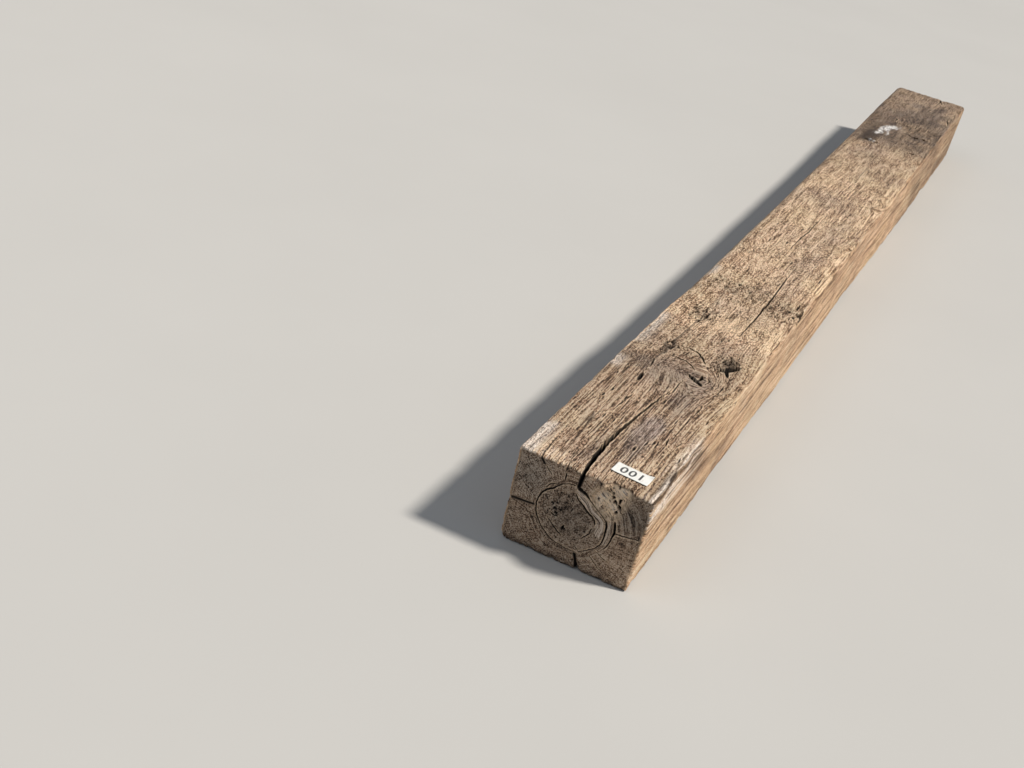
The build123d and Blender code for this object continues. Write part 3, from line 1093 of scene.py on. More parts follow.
def side_marks(places, outward, around, along, height, loss):
    """Paint the long faces: where they are torn, stained, silvery, freshly worn or dirty."""
    up = facing_up(outward, start=0.4)
    under = facing_up(-outward, start=0.4)
    flank = 1 - up - under
    across = places[:, 0]
    cloudy = rough(places, 60, 150, 30)
    patchy = rough(places, 22, 45, 31)
    streaky = rough(places, 7, 160, 32)
    wisps = rough(places, 3.5, 45, 39)
    mixed = 0.5 * cloudy + 0.3 * patchy + 0.3 * streaky
    stain = rise(along + 45 * patchy + 30 * cloudy, *STAIN_START)
    stain *= 0.7 - 0.25 * rise(along, *STAIN_THINS)
    stain *= up + 0.3 * flank
    left_edge = np.exp(-((around - TOP_LEFT - SILVER_INSET) / SILVER_REACH) ** 2)
    stretches = sum(between(along + 12 * patchy, low, high, 10) for low, high in SILVER_STRETCHES)
    past_edge = around - TOP_RIGHT
    frayed = rise(past_edge, *FRAYED_TOP) * (1 - rise(past_edge, *FRAYED_SIDE))
    frayed *= 1 - rise(along + 60 * patchy, *FRAYED_END)
    silver = left_edge * stretches * (0.95 + 0.5 * wisps) + frayed * (0.65 + 1.2 * streaky + 1.3 * wisps)
    corner = (1 - rise(along, *SILVER_CORNER_ALONG)) * (1 - rise(across, *SILVER_CORNER_ACROSS))
    silver += up * 0.5 * corner * rise(wisps, -0.2, 0.5)
    golden_top = between(along, *GOLDEN_STRETCH, 90)
    fresh = up * (0.2 + 0.6 * golden_top) * rise(mixed, -0.5, 0.5) + flank * (0.85 + 0.5 * mixed)
    fresh += up * rise(across + 12 * patchy, *FRESH_STRIP) * 0.7 + rise(loss, 0.4, 2.5) * 0.5
    beside_label = soft_spot(side_by_side(across, along), *GREY_PATCH)
    grey = up * rise(beside_label + 0.5 * patchy, 0.35, 0.9)
    grey = np.maximum(grey, 0.5 * up * rise(-cloudy - 0.4 * patchy, 0.15, 0.75) * (1 - 0.8 * golden_top))
    knot = 0.2 * np.exp(-(np.hypot(across - BIG_KNOT[0], KNOT_SQUASH * (along - BIG_KNOT[1])) / 50) ** 2)
    for knot_across, knot_along, radius in KNOTS:
        reach = np.hypot(across - knot_across, KNOT_SQUASH * (along - knot_along))
        knot = np.maximum(knot, 0.5 * np.exp(-(reach / (1.7 * radius)) ** 2))
    knot *= up
    hollow = rise(-height, 1.4, 3.5)
    frayed_gaps = frayed * rise(-wisps - 0.5 * streaky, 0.0, 0.4)
    dirt = frayed_gaps + 0.2 * knot + 0.7 * hollow + 0.7 * under
    dirt += 0.2 * up * rise(-mixed, 0.2, 0.8) * (1 - 0.7 * golden_top)
    for soot_across, soot_along, reach_across, reach_along, share in SOOT:
        past = np.hypot((across - soot_across) / reach_across, (along - soot_along) / reach_along)
        dirt += share * up * (1 - rise(past + 0.5 * patchy, 0.3, 1.2))
    clouds = 0.16 * rise(-cloudy - 0.6 * patchy, 0.0, 0.9) * (1 - 0.6 * golden_top)
    dull = up * np.interp(along + 22 * patchy, *np.array(TOP_DULLNESS).T) + clouds
    dull += (1 - up) * np.interp(along + 60 * cloudy, *np.array(SIDE_DULLNESS).T)
    dull += flank * 0.11 * rise(-patchy - 0.6 * streaky, -0.1, 0.8)
    at_end = up * (1 - rise(along, 20, 40))
    dull += at_end * (0.09 * rise(across, 0, 24) - 0.18 * (1 - rise(across, -40, 0)))
    dull -= 0.05 * up * rise(across, 0, 40) * (1 - rise(along, 330, 420))
    marks = {"flank": flank, "stain": stain, "silver": silver, "fresh": fresh, "grey": grey, "dirt": dirt,
             "splash": up * splashed(places, along), "torn": up * torn_zone(places, along), "knot": knot,
             "dull": dull}
    return {name: np.clip(values, 0, 1) for name, values in marks.items()}


def skin_sides(skin):
    """Triangulate the long faces and return the rims at the two ends."""
    sheet = lay_out_sides()
    fill_sides(sheet)
    flat, (sinks, lips, shifts), faces, _ = sheet.triangles()
    around = flat[:, 0]
    along = flat[:, 1]
    places, outward = beam_places(around, along)
    sideways = side_by_side(outward[:, 2], 0.0, -outward[:, 0])
    grain = grain_places(places, along)
    relief = weathering(places, outward, along, grain)
    loss = worn_arrises(places, around, along)
    marks = side_marks(places, outward, around, along, relief, loss)
    seats = seat_relief(places, outward, along)
    low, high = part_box("number_label")
    below_label = between(places[:, 0], low.x / MM, high.x / MM, LABEL_MARGIN)
    below_label *= between(places[:, 1], low.y / MM, high.y / MM, LABEL_MARGIN)
    relief = np.minimum(relief, HIGHEST_RELIEF * (1 - below_label * facing_up(outward)))
    places = places + outward * (relief - loss - seats - rounded_ends(along) - sinks)[:, None]
    places += sideways * shifts[:, None]
    places[:, 2] = np.maximum(places[:, 2], 0)
    worn_back = rim_wear(places, along < LENGTH / 2)
    worn_back *= 1 - rise(np.minimum(along, LENGTH - along), 0, RIM_REACH_ALONG)
    places[:, 1] += np.where(along < LENGTH / 2, worn_back, -worn_back)
    lips = np.maximum(lips, pale_patches(places, along) * (sinks < TINY))
    # The deep mark, how far a point is sunk in a crack or hole, is painted as shade by the material
    first = skin.add(places, grain, deep=rise(sinks, 0.2, 2.5), lip=lips, **marks)
    twin = {round(along[number], 3): number for number in np.flatnonzero(around < TINY)}
    welded = np.arange(len(flat))
    for number in np.flatnonzero(around > GIRTH - TINY):
        welded[number] = twin[round(along[number], 3)]
    skin.faces += [[first + int(welded[corner]) for corner in face] for face in faces]
    rims = []
    for end in (0, LENGTH):
        rim = np.flatnonzero((np.abs(along - end) < TINY) & (around < GIRTH - TINY))
        rims.append([first + int(number) for number in rim[np.argsort(around[rim], kind="stable")]])
    return rims


def skin_end(skin, rim, labelled):
    """Close one end of the timber inside its rim."""
    outline = np.concatenate(skin.places)[rim][:, [0, 2]]
    sheet = Sheet(stretch=1.0)
    for point in outline:
        sheet.add(point)
    border = list(range(len(rim)))
    if labelled:
        lay_out_labelled_end(sheet, outline)
    else:
        cut_cracks(sheet, FAR_CRACKS)
    points = end_points(outline, END_SPACING if labelled else FAR_SPACING)
    for point in points[sheet.clear_points(points)]:
        sheet.add(point)
    flat, (sinks, lips, _), faces, source = sheet.triangles(border)
    number_of = {}
    fresh = []
    for number, origin in enumerate(source):
        if 0 <= origin < len(rim):
            number_of[number] = rim[origin]
        else:
            fresh.append(number)
    flat = flat[fresh]
    sinks = sinks[fresh]
    height, marks = end_relief(flat, labelled)
    from_rim = outline_reach(flat, outline)
    beside_rim = rim_wear(side_by_side(flat[:, 0], 0.0, flat[:, 1]), labelled)
    near_rim = 1 - rise(from_rim, 0, RIM_REACH * (1 - 0.5 * marks["fresh"]))
    height = height * (1 - near_rim) - beside_rim * near_rim
    out = -1 if labelled else 1
    end = LABELLED_END if labelled else LABELLED_END + LENGTH
    places = side_by_side(flat[:, 0], end + out * (height - sinks), flat[:, 1])
    grain = end_rings(flat) if labelled else places
    # The deep mark paints shade in the end's cracks and pits
    first = skin.add(places, grain, deep=rise(sinks, 0.2, 2.5), lip=lips[fresh], end=1, **marks)
    for position, number in enumerate(fresh):
        number_of[number] = first + position
    for face in faces:
        corners = [number_of[corner] for corner in face]
        skin.faces.append(corners if labelled else corners[::-1])


def place_object(name, data):
    """Put a mesh, a light, a camera or writing into the scene."""
    placed = bpy.data.objects.new(name, data)
    bpy.context.scene.collection.objects.link(placed)
    return placed


def make_smooth_mesh(name, places, faces):
    """Make a mesh from places in millimetres, with smooth shading."""
    mesh = bpy.data.meshes.new(name)
    mesh.from_pydata((places * MM).tolist(), [], faces)
    mesh.polygons.foreach_set("use_smooth", np.ones(len(mesh.polygons), bool))
    return mesh


def make_timber():
    """Make the timber's mesh, with its marks as attributes that its material reads."""
    skin = Skin()
    labelled_rim, far_rim = skin_sides(skin)
    skin_end(skin, labelled_rim, True)
    skin_end(skin, far_rim, False)
    places = np.concatenate(skin.places)
    used = np.unique(np.concatenate([np.array(face) for face in skin.faces]))
    renumbered = np.zeros(len(places), int)
    renumbered[used] = np.arange(len(used))
    faces = [[int(renumbered[corner]) for corner in face] for face in skin.faces]
    mesh = make_smooth_mesh("worn_sleeper_timber", places[used], faces)
    for name, parts in skin.marks.items():
        attribute = mesh.attributes.new(name, "FLOAT", "POINT")
        attribute.data.foreach_set("value", np.concatenate(parts)[used].astype(np.float32))
    attribute = mesh.attributes.new("grain", "FLOAT_VECTOR", "POINT")
    attribute.data.foreach_set("vector", (np.concatenate(skin.grain)[used] * MM).astype(np.float32).ravel())
    mesh.set_sharp_from_angle(angle=math.radians(SHARP_ANGLE))
    return place_object("worn_sleeper_timber", mesh)


# Shader building
def feed(tree, node, inputs):
    """Set a node's inputs to values, or link them to other nodes' outputs."""
    for socket, value in inputs.items():
        if isinstance(value, bpy.types.NodeSocket):
            tree.links.new(value, node.inputs[socket])
        else:
            node.inputs[socket].default_value = value


def add_node(tree, kind, inputs, **settings):
    """Add a shader node with its settings and inputs."""
    node = tree.nodes.new(kind)
    for name, value in settings.items():
        setattr(node, name, value)
    feed(tree, node, inputs)
    return node


def calculate(tree, operation, first, second=0.0, third=0.0):
    """Add one arithmetic step on numbers."""
    return add_node(tree, "ShaderNodeMath", {0: first, 1: second, 2: third}, operation=operation).outputs[0]


def times(tree, first, second):
    """Multiply two numbers."""
    return calculate(tree, "MULTIPLY", first, second)


def weigh(tree, *parts):
    """Add up (value, weight) pairs."""
    total = 0.0
    for value, weight in parts:
        total = calculate(tree, "MULTIPLY_ADD", value, weight, total)
    return total


def vector_step(tree, operation, first, second=(0, 0, 0)):
    """Add one arithmetic step on vectors."""
    return add_node(tree, "ShaderNodeVectorMath", {0: first, 1: second}, operation=operation).outputs[0]


def spread(tree, value, low, high, new_low=0.0, new_high=1.0):
    """Stretch the span from low to high over the span from new_low to new_high."""
    inputs = {"Value": value, "From Min": low, "From Max": high, "To Min": new_low, "To Max": new_high}
    return add_node(tree, "ShaderNodeMapRange", inputs).outputs[0]


def blend_values(tree, share, first, second):
    """Mix two numbers by a share from 0 to 1."""
    return add_node(tree, "ShaderNodeMix", {0: share, 2: first, 3: second}).outputs[0]


def blend_colours(tree, share, first, second, mode="MIX"):
    """Mix two colours by a share from 0 to 1."""
    inputs = {0: share, 6: first, 7: second}
    return add_node(tree, "ShaderNodeMix", inputs, data_type="RGBA", blend_type=mode).outputs[2]


def noise(tree, place, scale, detail, roughness=0.6, distortion=0.0):
    """Add noise of lumps about 1 / scale long."""
    inputs = {"Vector": place, "Scale": scale, "Detail": detail, "Roughness": roughness,
              "Distortion": distortion}
    return add_node(tree, "ShaderNodeTexNoise", inputs).outputs[0]


def grain_noise(tree, grain, lumps, detail, roughness, low, high, distortion=0.0):
    """Add noise with so many lumps to a metre each way, stretched from the span from low to high."""
    place = vector_step(tree, "MULTIPLY", grain, lumps)
    return spread(tree, noise(tree, place, 1.0, detail, roughness, distortion), low, high)


def shade(tree, value, places, colours):
    """Turn a value into a colour by a ramp with the given colours at the given places."""
    ramp = tree.nodes.new("ShaderNodeValToRGB")
    stops = ramp.color_ramp.elements
    while len(stops) < len(places):
        stops.new(0.5)
    for stop, place, tint in zip(stops, places, colours):
        stop.position = place
        stop.color = tint
    tree.links.new(value, ramp.inputs[0])
    return ramp.outputs[0]


def mark(tree, name, output="Fac"):
    """Read one of the mesh's marks."""
    return add_node(tree, "ShaderNodeAttribute", {}, attribute_name=name).outputs[output]


def object_place(tree):
    """Give each point's place on the object, in metres."""
    return add_node(tree, "ShaderNodeTexCoord", {}).outputs["Object"]


def bump(tree, height, distance, strength):
    """Turn a height into a bumpy normal."""
    inputs = {"Height": height, "Distance": distance, "Strength": strength}
    return add_node(tree, "ShaderNodeBump", inputs).outputs["Normal"]


def start_group(name, inputs):
    """Start a shader node group with named inputs: numbers, or vectors where no value is given."""
    group = bpy.data.node_groups.new(name, "ShaderNodeTree")
    for socket, value in inputs.items():
        kind = "NodeSocketVector" if value is None else "NodeSocketFloat"
        made = group.interface.new_socket(socket, in_out="INPUT", socket_type=kind)
        if value is not None:
            made.default_value = value
    return group, group.nodes.new("NodeGroupInput").outputs


def finish_group(group, outputs):
    """Give a shader node group its named outputs, which are all numbers."""
    for name in outputs:
        group.interface.new_socket(name, in_out="OUTPUT", socket_type="NodeSocketFloat")
    feed(group, group.nodes.new("NodeGroupOutput"), outputs)
    return group


def use_group(tree, group, inputs):
    """Place a group in a material and return its outputs."""
    return add_node(tree, "ShaderNodeGroup", inputs, node_tree=group).outputs


def make_fibre_group():
    """Long fibres: their light and dark tone, the hairline checks between them, and their relief."""
    inputs = {"Place": None, "Fibre width": 0.003, "Fibre length": 0.12, "Check share": 0.5}
    group, given = start_group("Wood fibres", inputs)
    width = given["Fibre width"]
    size = add_node(group, "ShaderNodeCombineXYZ", {0: width, 1: given["Fibre length"], 2: width}).outputs[0]
    place = vector_step(group, "DIVIDE", given["Place"], size)
    fine = noise(group, place, 1.0, 5, 0.65, 0.15)
    broad = noise(group, place, 0.23, 4, 0.6, 0.2)
    tone = spread(group, weigh(group, (fine, 0.6), (broad, 0.4)), 0.36, 0.64)
    wandering = noise(group, place, 0.31, 2, 0.5, 0.4)
    gate = noise(group, place, 0.12, 2, 0.5)
    reach = calculate(group, "ABSOLUTE", calculate(group, "SUBTRACT", wandering, 0.5))
    widest = times(group, given["Check share"], spread(group, gate, 0.4, 0.65, 0.002, 0.05))
    solid = spread(group, calculate(group, "DIVIDE", reach, widest), 0.4, 1.0)
    checks = calculate(group, "SUBTRACT", 1.0, solid)
    relief = calculate(group, "SUBTRACT", times(group, fine, 0.6), checks)
    return finish_group(group, {"Tone": tone, "Checks": checks, "Relief": relief})


def make_end_grain_group():
    """End grain: rays that run out from the pith and rings that run round it."""
    inputs = {"Place": None, "Pith": None, "Ray width": 0.0012, "Ring width": 0.0022}
    group, given = start_group("End grain", inputs)
    offset = vector_step(group, "SUBTRACT", given["Place"], given["Pith"])
    offset = vector_step(group, "MULTIPLY", offset, (1, 0, 1))
    direction = vector_step(group, "NORMALIZE", offset)
    distance = add_node(group, "ShaderNodeVectorMath", {0: offset}, operation="LENGTH").outputs["Value"]
    bent = calculate(group, "MULTIPLY_ADD", noise(group, given["Place"], 60, 2), 0.008, distance)
    turns = calculate(group, "DIVIDE", 0.055, given["Ray width"])
    scaled = add_node(group, "ShaderNodeVectorMath", {0: direction, "Scale": turns}, operation="SCALE")
    outward = add_node(group, "ShaderNodeCombineXYZ", {1: times(group, bent, 75)}).outputs[0]
    rays = noise(group, vector_step(group, "ADD", scaled.outputs[0], outward), 1.0, 3, 0.6)
    ring_count = calculate(group, "DIVIDE", bent, given["Ring width"])
    ring_place = add_node(group, "ShaderNodeCombineXYZ", {0: ring_count}).outputs[0]
    uneven = vector_step(group, "MULTIPLY", direction, (1.5, 1.5, 1.5))
    rings = noise(group, vector_step(group, "ADD", ring_place, uneven), 1.0, 3, 0.6)
    return finish_group(group, {"Rays": spread(group, rays, 0.36, 0.64),
                                "Rings": spread(group, rings, 0.36, 0.64),
                                "Relief": weigh(group, (rays, 0.6), (rings, 0.6))})


def make_dust_group():
    """Dust and grime: uneven flecks that gather in a mask."""
    group, given = start_group("Dust", {"Place": None, "Fleck size": 0.004, "Amount": 0.5})
    flecks = noise(group, given["Place"], calculate(group, "DIVIDE", 1.0, given["Fleck size"]), 5.0, 0.7)
    lowest = calculate(group, "SUBTRACT", 0.75, times(group, given["Amount"], 0.45))
    return finish_group(group, {"Mask": spread(group, flecks, lowest, calculate(group, "ADD", lowest, 0.14))})


def colour(red, green, blue):
    """Turn a colour as seen on screen, from 0 to 255, into the shader's own scale."""
    shares = [part / 255 for part in (red, green, blue)]
    linear = [part / 12.92 if part <= 0.04045 else ((part + 0.055) / 1.055) ** 2.4 for part in shares]
    return (*linear, 1.0)


# The dark, middle and light tones of each state of the wood, and where they sit on its ramp
WORN = (colour(64, 47, 35), colour(188, 149, 118), colour(238, 214, 186))
GOLDEN = (colour(96, 70, 48), colour(217, 177, 141), colour(244, 220, 188))
GREYED = (colour(62, 50, 46), colour(146, 125, 114), colour(206, 188, 178))
END_WOOD = (colour(58, 46, 37), colour(164, 131, 103), colour(206, 184, 160))
END_GREYED = (colour(54, 47, 41), colour(148, 129, 112), colour(188, 176, 162))
# The chip's pale torn wood, its lightest tone painted brighter still as a highlight of sunlit splinters
TORN_WOOD_AND_HIGHLIGHT = (*END_WOOD[:2], colour(255, 226, 190))
WORN_STOPS = (0.0, 0.44, 1.0)
GREYED_STOPS = (0.0, 0.48, 1.0)
# Low stops, so most of the chip takes the painted highlight tone
TORN_STOPS = (0.02, 0.16, 0.33)

# The other colours of the timber
TINTS = (colour(255, 250, 250), colour(250, 252, 240))
OIL = (colour(70, 60, 58), colour(98, 78, 62))
SILVER_AND_HIGHLIGHT = colour(236, 222, 208)
FRAYED = colour(246, 216, 182)
# Grime, also for the hairline checks and as painted shade in the small pits of the torn wood
GRIME_AND_SHADE = colour(44, 33, 26)
WHITEWASH = colour(238, 234, 230)
# Painted shade for the inside of the cracks and holes
CRACK_SHADE = colour(13, 10, 8)
BLACK = colour(0, 0, 0)


def finish_material(name, build):
    """Make a material whose Principled shader is set up by the given function."""
    material = bpy.data.materials.new(name)
    material.use_nodes = True
    tree = material.node_tree
    build(tree, tree.nodes["Principled BSDF"])
    return material


def build_timber_finish(tree, shader):
    """Weathered hardwood, from the mesh's marks."""
    grain = mark(tree, "grain", "Vector")
    place = object_place(tree)
    marks = {name: mark(tree, name) for name in Skin.MARKS}
    end = marks["end"]
    torn = marks["torn"]
    flank = marks["flank"]

    # The wood's light and dark fibres and flecks
    fine = use_group(tree, fibre_group, {"Place": grain, "Fibre width": 0.0014, "Fibre length": 0.035,
                                         "Check share": 0.3})
    coarse = use_group(tree, fibre_group, {"Place": grain, "Fibre width": 0.006, "Fibre length": 0.3,
                                           "Check share": spread(tree, marks["knot"], 0, 1, 0.12, 0.8)})
    flecks = grain_noise(tree, grain, (560, 190, 560), 2, 0.6, 0.4, 0.6, 0.5)
    crumbs = grain_noise(tree, grain, (400, 160, 400), 4, 0.75, 0.38, 0.62, 0.4)
    clumps = grain_noise(tree, grain, (80, 24, 80), 4, 0.6, 0.35, 0.65)
    streaks = grain_noise(tree, grain, (190, 2, 190), 4, 0.6, 0.36, 0.64)
    soft_streaks = grain_noise(tree, grain, (125, 6, 125), 5, 0.75, 0.36, 0.64)
    lines = grain_noise(tree, grain, (430, 12, 430), 3, 0.6, 0.38, 0.62)
    top_tone = weigh(tree, (lines, 0.27), (fine["Tone"], 0.27), (flecks, 0.2), (crumbs, 0.14),
                     (coarse["Tone"], 0.06), (clumps, 0.06))
    torn_tone = weigh(tree, (crumbs, 0.42), (flecks, 0.26), (fine["Tone"], 0.1), (clumps, 0.22))
    side_tone = weigh(tree, (streaks, 0.24), (fine["Tone"], 0.22), (soft_streaks, 0.28), (flecks, 0.14),
                      (clumps, 0.12))
    tone = spread(tree, blend_values(tree, torn, top_tone, torn_tone), 0.38, 0.62)
    tone = blend_values(tree, flank, tone, spread(tree, side_tone, 0.26, 0.74))
    worn = shade(tree, tone, WORN_STOPS, WORN)
    base = blend_colours(tree, marks["fresh"], worn, shade(tree, tone, WORN_STOPS, GOLDEN))
    base = blend_colours(tree, times(tree, marks["grey"], 0.8), base, shade(tree, tone, GREYED_STOPS, GREYED))
    broad = noise(tree, place, 14, 3)
    base = blend_colours(tree, 0.35, base, shade(tree, broad, (0.38, 0.62), TINTS), "MULTIPLY")
    oil_break = noise(tree, place, 30, 5, 0.65)
    oil = times(tree, marks["stain"], spread(tree, oil_break, 0.35, 0.65, 1.0, 0.5))
    oil_colour = blend_colours(tree, spread(tree, broad, 0.4, 0.6), *OIL)
    oil_contrast = shade(tree, tone, (0.0, 1.0), (BLACK, WHITEWASH))
    oil_colour = blend_colours(tree, 1.0, oil_colour, oil_contrast, "SOFT_LIGHT")
    base = blend_colours(tree, oil, base, oil_colour)

    # The end grain
    end_grain = use_group(tree, end_grain_group, {"Place": place, "Pith": (PITH[0] * MM, 0, PITH[1] * MM)})
    speckle = spread(tree, noise(tree, place, 600, 3, 0.7), 0.37, 0.63)
    clouds = spread(tree, noise(tree, place, 90, 4, 0.6), 0.36, 0.64)
    ring_lines = grain_noise(tree, grain, (520, 1, 16), 3, 0.6, 0.38, 0.62)
    end_tone = weigh(tree, (end_grain["Rays"], 0.28), (end_grain["Rings"], 0.14), (speckle, 0.44),
                     (clouds, 0.14))
    ring_tone = weigh(tree, (ring_lines, 0.55), (speckle, 0.3), (clouds, 0.15))
    end_tone = spread(tree, blend_values(tree, marks["ringed"], end_tone, ring_tone), 0.34, 0.66)
    end_colour = shade(tree, end_tone, GREYED_STOPS, END_WOOD)
    end_grey = shade(tree, end_tone, GREYED_STOPS, END_GREYED)
    end_colour = blend_colours(tree, marks["grey"], end_colour, end_grey)
    # The chip's pale torn wood, with a painted highlight of sunlit splinters
    splinters = grain_noise(tree, grain, (420, 1, 220), 4, 0.7, 0.4, 0.6, 0.8)
    torn_colour_and_highlight = shade(tree, splinters, TORN_STOPS, TORN_WOOD_AND_HIGHLIGHT)
    end_colour = blend_colours(tree, marks["fresh"], end_colour, torn_colour_and_highlight)
    base = blend_colours(tree, end, base, end_colour)

    # Dullness, silvery wisps with a painted highlight on the chip's splinters, and pale frayed lips
    base = blend_colours(tree, marks["dull"], base, BLACK)
    side_wisps = spread(tree, weigh(tree, (lines, 0.6), (flecks, 0.4)), 0.42, 0.6)
    wisps = blend_values(tree, flank, spread(tree, flecks, 0.0, 0.6, 0.25, 1.0), side_wisps)
    wisps = blend_values(tree, end, wisps, spread(tree, ring_lines, 0.3, 0.8, 0.1, 1.0))
    base = blend_colours(tree, times(tree, marks["silver"], wisps), base, SILVER_AND_HIGHLIGHT)
    lip = times(tree, marks["lip"], spread(tree, flecks, 0.1, 0.8, 0.15, 0.95))
    base = blend_colours(tree, lip, base, FRAYED)

    # Dirt, checks and whitewash, with painted shade in the small pits of the torn wood and inside the cracks
    # and holes
    grime = use_group(tree, dust_group, {"Place": place, "Fleck size": 0.009, "Amount": 0.5})["Mask"]
    grime = calculate(tree, "MAXIMUM", times(tree, grime, 0.25), times(tree, marks["dirt"], 0.8))
    base = blend_colours(tree, grime, base, GRIME_AND_SHADE)
    checks = calculate(tree, "MAXIMUM", times(tree, fine["Checks"], 0.6), coarse["Checks"])
    checks = times(tree, checks, calculate(tree, "SUBTRACT", 1.0, end))
    base = blend_colours(tree, times(tree, checks, 0.7), base, GRIME_AND_SHADE)
    # Painted shade: dark specks for the shade in the small pits of the torn wood
    holes = grain_noise(tree, grain, (220, 130, 220), 3, 0.6, 0.4, 0.32, 0.6)
    pits = times(tree, holes, spread(tree, torn, 0.5, 0.9))
    base = blend_colours(tree, times(tree, pits, 0.85), base, GRIME_AND_SHADE)
    lace = times(tree, marks["splash"], spread(tree, crumbs, 0.22, 0.48, 0.06, 1.0))
    base = blend_colours(tree, lace, base, WHITEWASH)
    # Painted shade inside the cracks and holes, darker the deeper a point is sunk
    base = blend_colours(tree, marks["deep"], base, CRACK_SHADE)

    side_relief = weigh(tree, (fine["Relief"], 0.8), (coarse["Relief"], 0.8), (flecks, 0.5), (crumbs, 0.6),
                        (lines, 0.5), (times(tree, torn, crumbs), 1.0))
    end_height = weigh(tree, (end_grain["Relief"], 0.8), (speckle, 0.5), (ring_lines, 0.4))
    relief = blend_values(tree, end, side_relief, end_height)
    roughness = spread(tree, tone, 0.0, 1.0, 0.78, 0.92)
    roughness = calculate(tree, "SUBTRACT", roughness, times(tree, oil, 0.25))
    feed(tree, shader, {"Base Color": base, "Roughness": roughness, "Normal": bump(tree, relief, 0.0012, 1.0),
                        "Specular IOR Level": 0.25})


def build_paper_finish(tree, shader):
    """Matt white paper that has gathered a little dust."""
    place = object_place(tree)
    dust = use_group(tree, dust_group, {"Place": place, "Fleck size": 0.006, "Amount": 0.5})["Mask"]
    fibres = noise(tree, place, 1800, 4, 0.7)
    base = blend_colours(tree, times(tree, dust, 0.3), colour(216, 215, 210), colour(172, 156, 138))
    base = blend_colours(tree, spread(tree, fibres, 0.4, 0.7, 0.0, 0.12), base, colour(190, 188, 182))
    feed(tree, shader, {"Base Color": base, "Roughness": spread(tree, dust, 0, 1, 0.55, 0.8),
                        "Normal": bump(tree, fibres, 0.0001, 0.5)})


def build_ink_finish(tree, shader):
    """Faded black printing ink."""
    worn = noise(tree, object_place(tree), 900, 5, 0.7)
    base = blend_colours(tree, spread(tree, worn, 0.45, 0.75), colour(46, 45, 46), colour(96, 94, 92))
    feed(tree, shader, {"Base Color": base, "Roughness": spread(tree, worn, 0.3, 0.7, 0.5, 0.75)})


def build_floor_finish(tree, shader):
    """A plain pale studio floor with a very faint unevenness."""
    faint = noise(tree, object_place(tree), 1.5, 3)
    base = blend_colours(tree, faint, colour(172, 170, 166), colour(178, 176, 172))
    feed(tree, shader, {"Base Color": base, "Roughness": 0.9})


# The label: its size and turn, its paper, the digits on it, how the paper waves, and how high its
# corner and its near end curl up, and over what reach
LABEL_LENGTH = 54
LABEL_WIDTH = 26
LABEL_TURN = -4
LABEL_STEP = 1.0
PAPER_THICKNESS = 0.15
DIGITS = "001"
DIGIT_HEIGHT = 15.5
DIGIT_SWELL = 0.4
DIGIT_SPACING = 1.15
CURVE_STEPS = 3
FONT_HEIGHT_SHARE = 0.7
PAPER_LIFT = 0.25
WAVE_HEIGHT = 0.18
CORNER_CURL = 2.2
CORNER_REACH = 14
NEAR_CURL = 0.7
NEAR_REACH = 8


def label_lift(places):
    """Give how far the paper stands off the timber, in millimetres, with one corner curling up."""
    along_label, across_label = places.T
    wave = PAPER_LIFT + WAVE_HEIGHT * np.sin(along_label / 9.0 + 0.6) * np.cos(across_label / 8.0)
    corner = (along_label + across_label - LABEL_LENGTH / 2 - LABEL_WIDTH / 2 + CORNER_REACH) / CORNER_REACH
    near_end = (-along_label - LABEL_LENGTH / 2 + NEAR_REACH) / NEAR_REACH
    return wave + CORNER_CURL * np.clip(corner, 0, 1) ** 2 + NEAR_CURL * np.clip(near_end, 0, 1) ** 2


def digit_outlines():
    """Draw the digits, and return their corner points and the edges round them."""
    writing = bpy.data.curves.new("label_digits", "FONT")
    writing.body = DIGITS
    writing.size = DIGIT_HEIGHT / FONT_HEIGHT_SHARE
    writing.align_x = "CENTER"
    writing.resolution_u = CURVE_STEPS
    writing.space_character = DIGIT_SPACING
    writing.offset = DIGIT_SWELL
    holder = place_object("label_digits", writing)
    bpy.context.view_layer.update()
    drawn = bpy.data.meshes.new_from_object(holder)
    bpy.data.objects.remove(holder)
    points = np.array([tuple(vertex.co)[:2] for vertex in drawn.vertices])
    points[:, 1] -= (points[:, 1].max() + points[:, 1].min()) / 2
    uses = {}
    for face in drawn.polygons:
        for edge in face.edge_keys:
            uses[edge] = uses.get(edge, 0) + 1
    return points, [edge for edge, count in uses.items() if count == 1]


def make_label():
    """Make the paper label, with plain digits printed on it as faces of their own."""
    low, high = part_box("number_label")
    centre = (low + high) / 2 / MM
    sheet = Sheet(stretch=1.0)
    columns = np.linspace(-LABEL_LENGTH / 2, LABEL_LENGTH / 2, round(LABEL_LENGTH / LABEL_STEP) + 1)
    rows = np.linspace(-LABEL_WIDTH / 2, LABEL_WIDTH / 2, round(LABEL_WIDTH / LABEL_STEP) + 1)
    for row in rows:
        for column in columns:
            sheet.add((column, row))
    corners, edges = digit_outlines()
    numbers = [sheet.add(corner) for corner in corners]
    sheet.edges += [(numbers[first], numbers[last]) for first, last in edges]
    flat, _, faces, _ = sheet.triangles()
    printed = inside(flat[faces].mean(axis=1), *corners[np.array(edges).T])

    turn = math.radians(LABEL_TURN)
    across = centre.x + flat[:, 0] * math.cos(turn) - flat[:, 1] * math.sin(turn)
    along = centre.y + flat[:, 0] * math.sin(turn) + flat[:, 1] * math.cos(turn)
    places = side_by_side(across, along, low.z / MM + label_lift(flat))
    mesh = make_smooth_mesh("paper_number_label", places, faces.tolist())
    mesh.polygons.foreach_set("material_index", printed.astype(int))
    label = place_object("paper_number_label", mesh)
    thickness = label.modifiers.new("Paper thickness", "SOLIDIFY")
    thickness.thickness = PAPER_THICKNESS * MM
    thickness.offset = -1
    return label


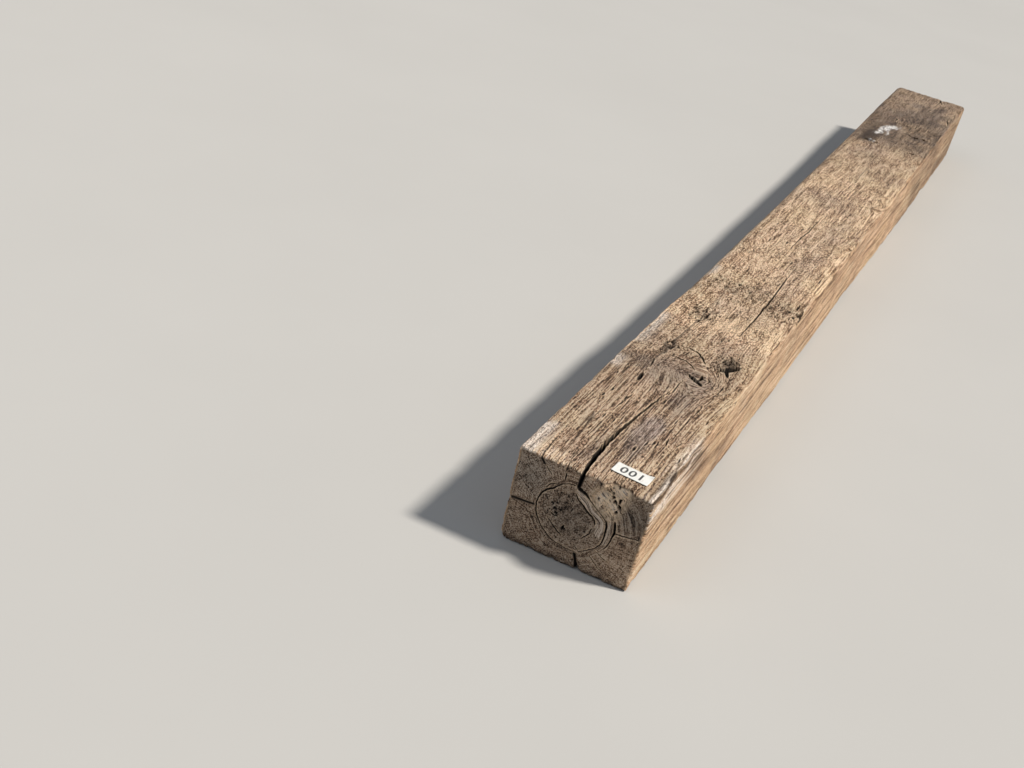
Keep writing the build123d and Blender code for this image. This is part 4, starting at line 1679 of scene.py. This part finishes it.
# The studio in metres: its floor, its lights and the light of the sky
FLOOR_SIZE = 60
LIGHT_DISTANCE = 9
SUN_DIRECTION = (0.62, 0.22, 0.75)
SUN = {"energy": 4.8, "angle": math.radians(7), "color": (1.0, 0.95, 0.88)}
FILL_DIRECTION = (-0.5, -0.6, 0.9)
FILL = {"energy": 120, "size": 5}
SKY = {"Color": (0.75, 0.85, 1.0, 1), "Strength": 0.3}

# The camera stands where the photograph's did, in metres, degrees and millimetres of lens
CAMERA_PLACE = (0.405, LABELLED_END * MM - 1.537, 1.106)
CAMERA_HEADING = -19.21
CAMERA_TILT = -28.24
CAMERA_ROLL = 13.09
CAMERA_LENS = 49.46
SENSOR_WIDTH = 36


def make_floor():
    """Make the studio floor, which is not part of the object."""
    mesh = bpy.data.meshes.new("studio_floor")
    reach = FLOOR_SIZE / 2
    corners = [(-reach, -reach, 0), (reach, -reach, 0), (reach, reach, 0), (-reach, reach, 0)]
    mesh.from_pydata(corners, [], [(0, 1, 2, 3)])
    return place_object("studio_floor", mesh)


def add_light(name, kind, direction, settings):
    """Add a light that shines from the given direction towards the sleeper."""
    light = bpy.data.lights.new(name, kind)
    for setting, value in settings.items():
        setattr(light, setting, value)
    lamp = place_object(name, light)
    towards = Vector(direction).normalized()
    lamp.location = towards * LIGHT_DISTANCE
    lamp.rotation_euler = towards.to_track_quat("Z", "Y").to_euler()


def light_sky():
    """Light the studio with a plain pale sky."""
    world = bpy.data.worlds.new("studio")
    world.use_nodes = True
    feed(world.node_tree, world.node_tree.nodes["Background"], SKY)
    bpy.context.scene.world = world


def add_camera():
    """Put the camera where the photograph's stood."""
    heading, tilt, roll = (math.radians(angle) for angle in (CAMERA_HEADING, CAMERA_TILT, CAMERA_ROLL))
    ahead = Vector((math.sin(heading) * math.cos(tilt), math.cos(heading) * math.cos(tilt), math.sin(tilt)))
    level = Vector((math.cos(heading), -math.sin(heading), 0))
    upright = level.cross(ahead)
    right = level * math.cos(roll) + upright * math.sin(roll)
    up = right.cross(ahead)
    turned = Matrix((right, up, -ahead)).transposed().to_4x4()
    data = bpy.data.cameras.new("photo_camera")
    data.lens = CAMERA_LENS
    data.sensor_width = SENSOR_WIDTH
    camera = place_object("photo_camera", data)
    camera.matrix_world = Matrix.Translation(CAMERA_PLACE) @ turned
    bpy.context.scene.camera = camera


# Put everything together
fibre_group = make_fibre_group()
end_grain_group = make_end_grain_group()
dust_group = make_dust_group()

timber = make_timber()
timber.data.materials.append(finish_material("weathered_hardwood", build_timber_finish))
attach(timber, "root")
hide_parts("sleeper_timber")

label = make_label()
label.data.materials.append(finish_material("dusty_paper", build_paper_finish))
label.data.materials.append(finish_material("printed_ink", build_ink_finish))
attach(label, "root")
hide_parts("number_label")

floor = make_floor()
floor.data.materials.append(finish_material("pale_floor", build_floor_finish))

add_camera()
add_light("key_light", "SUN", SUN_DIRECTION, SUN)
add_light("soft_fill", "AREA", FILL_DIRECTION, FILL)
light_sky()
bpy.context.scene.view_settings.view_transform = "Standard"
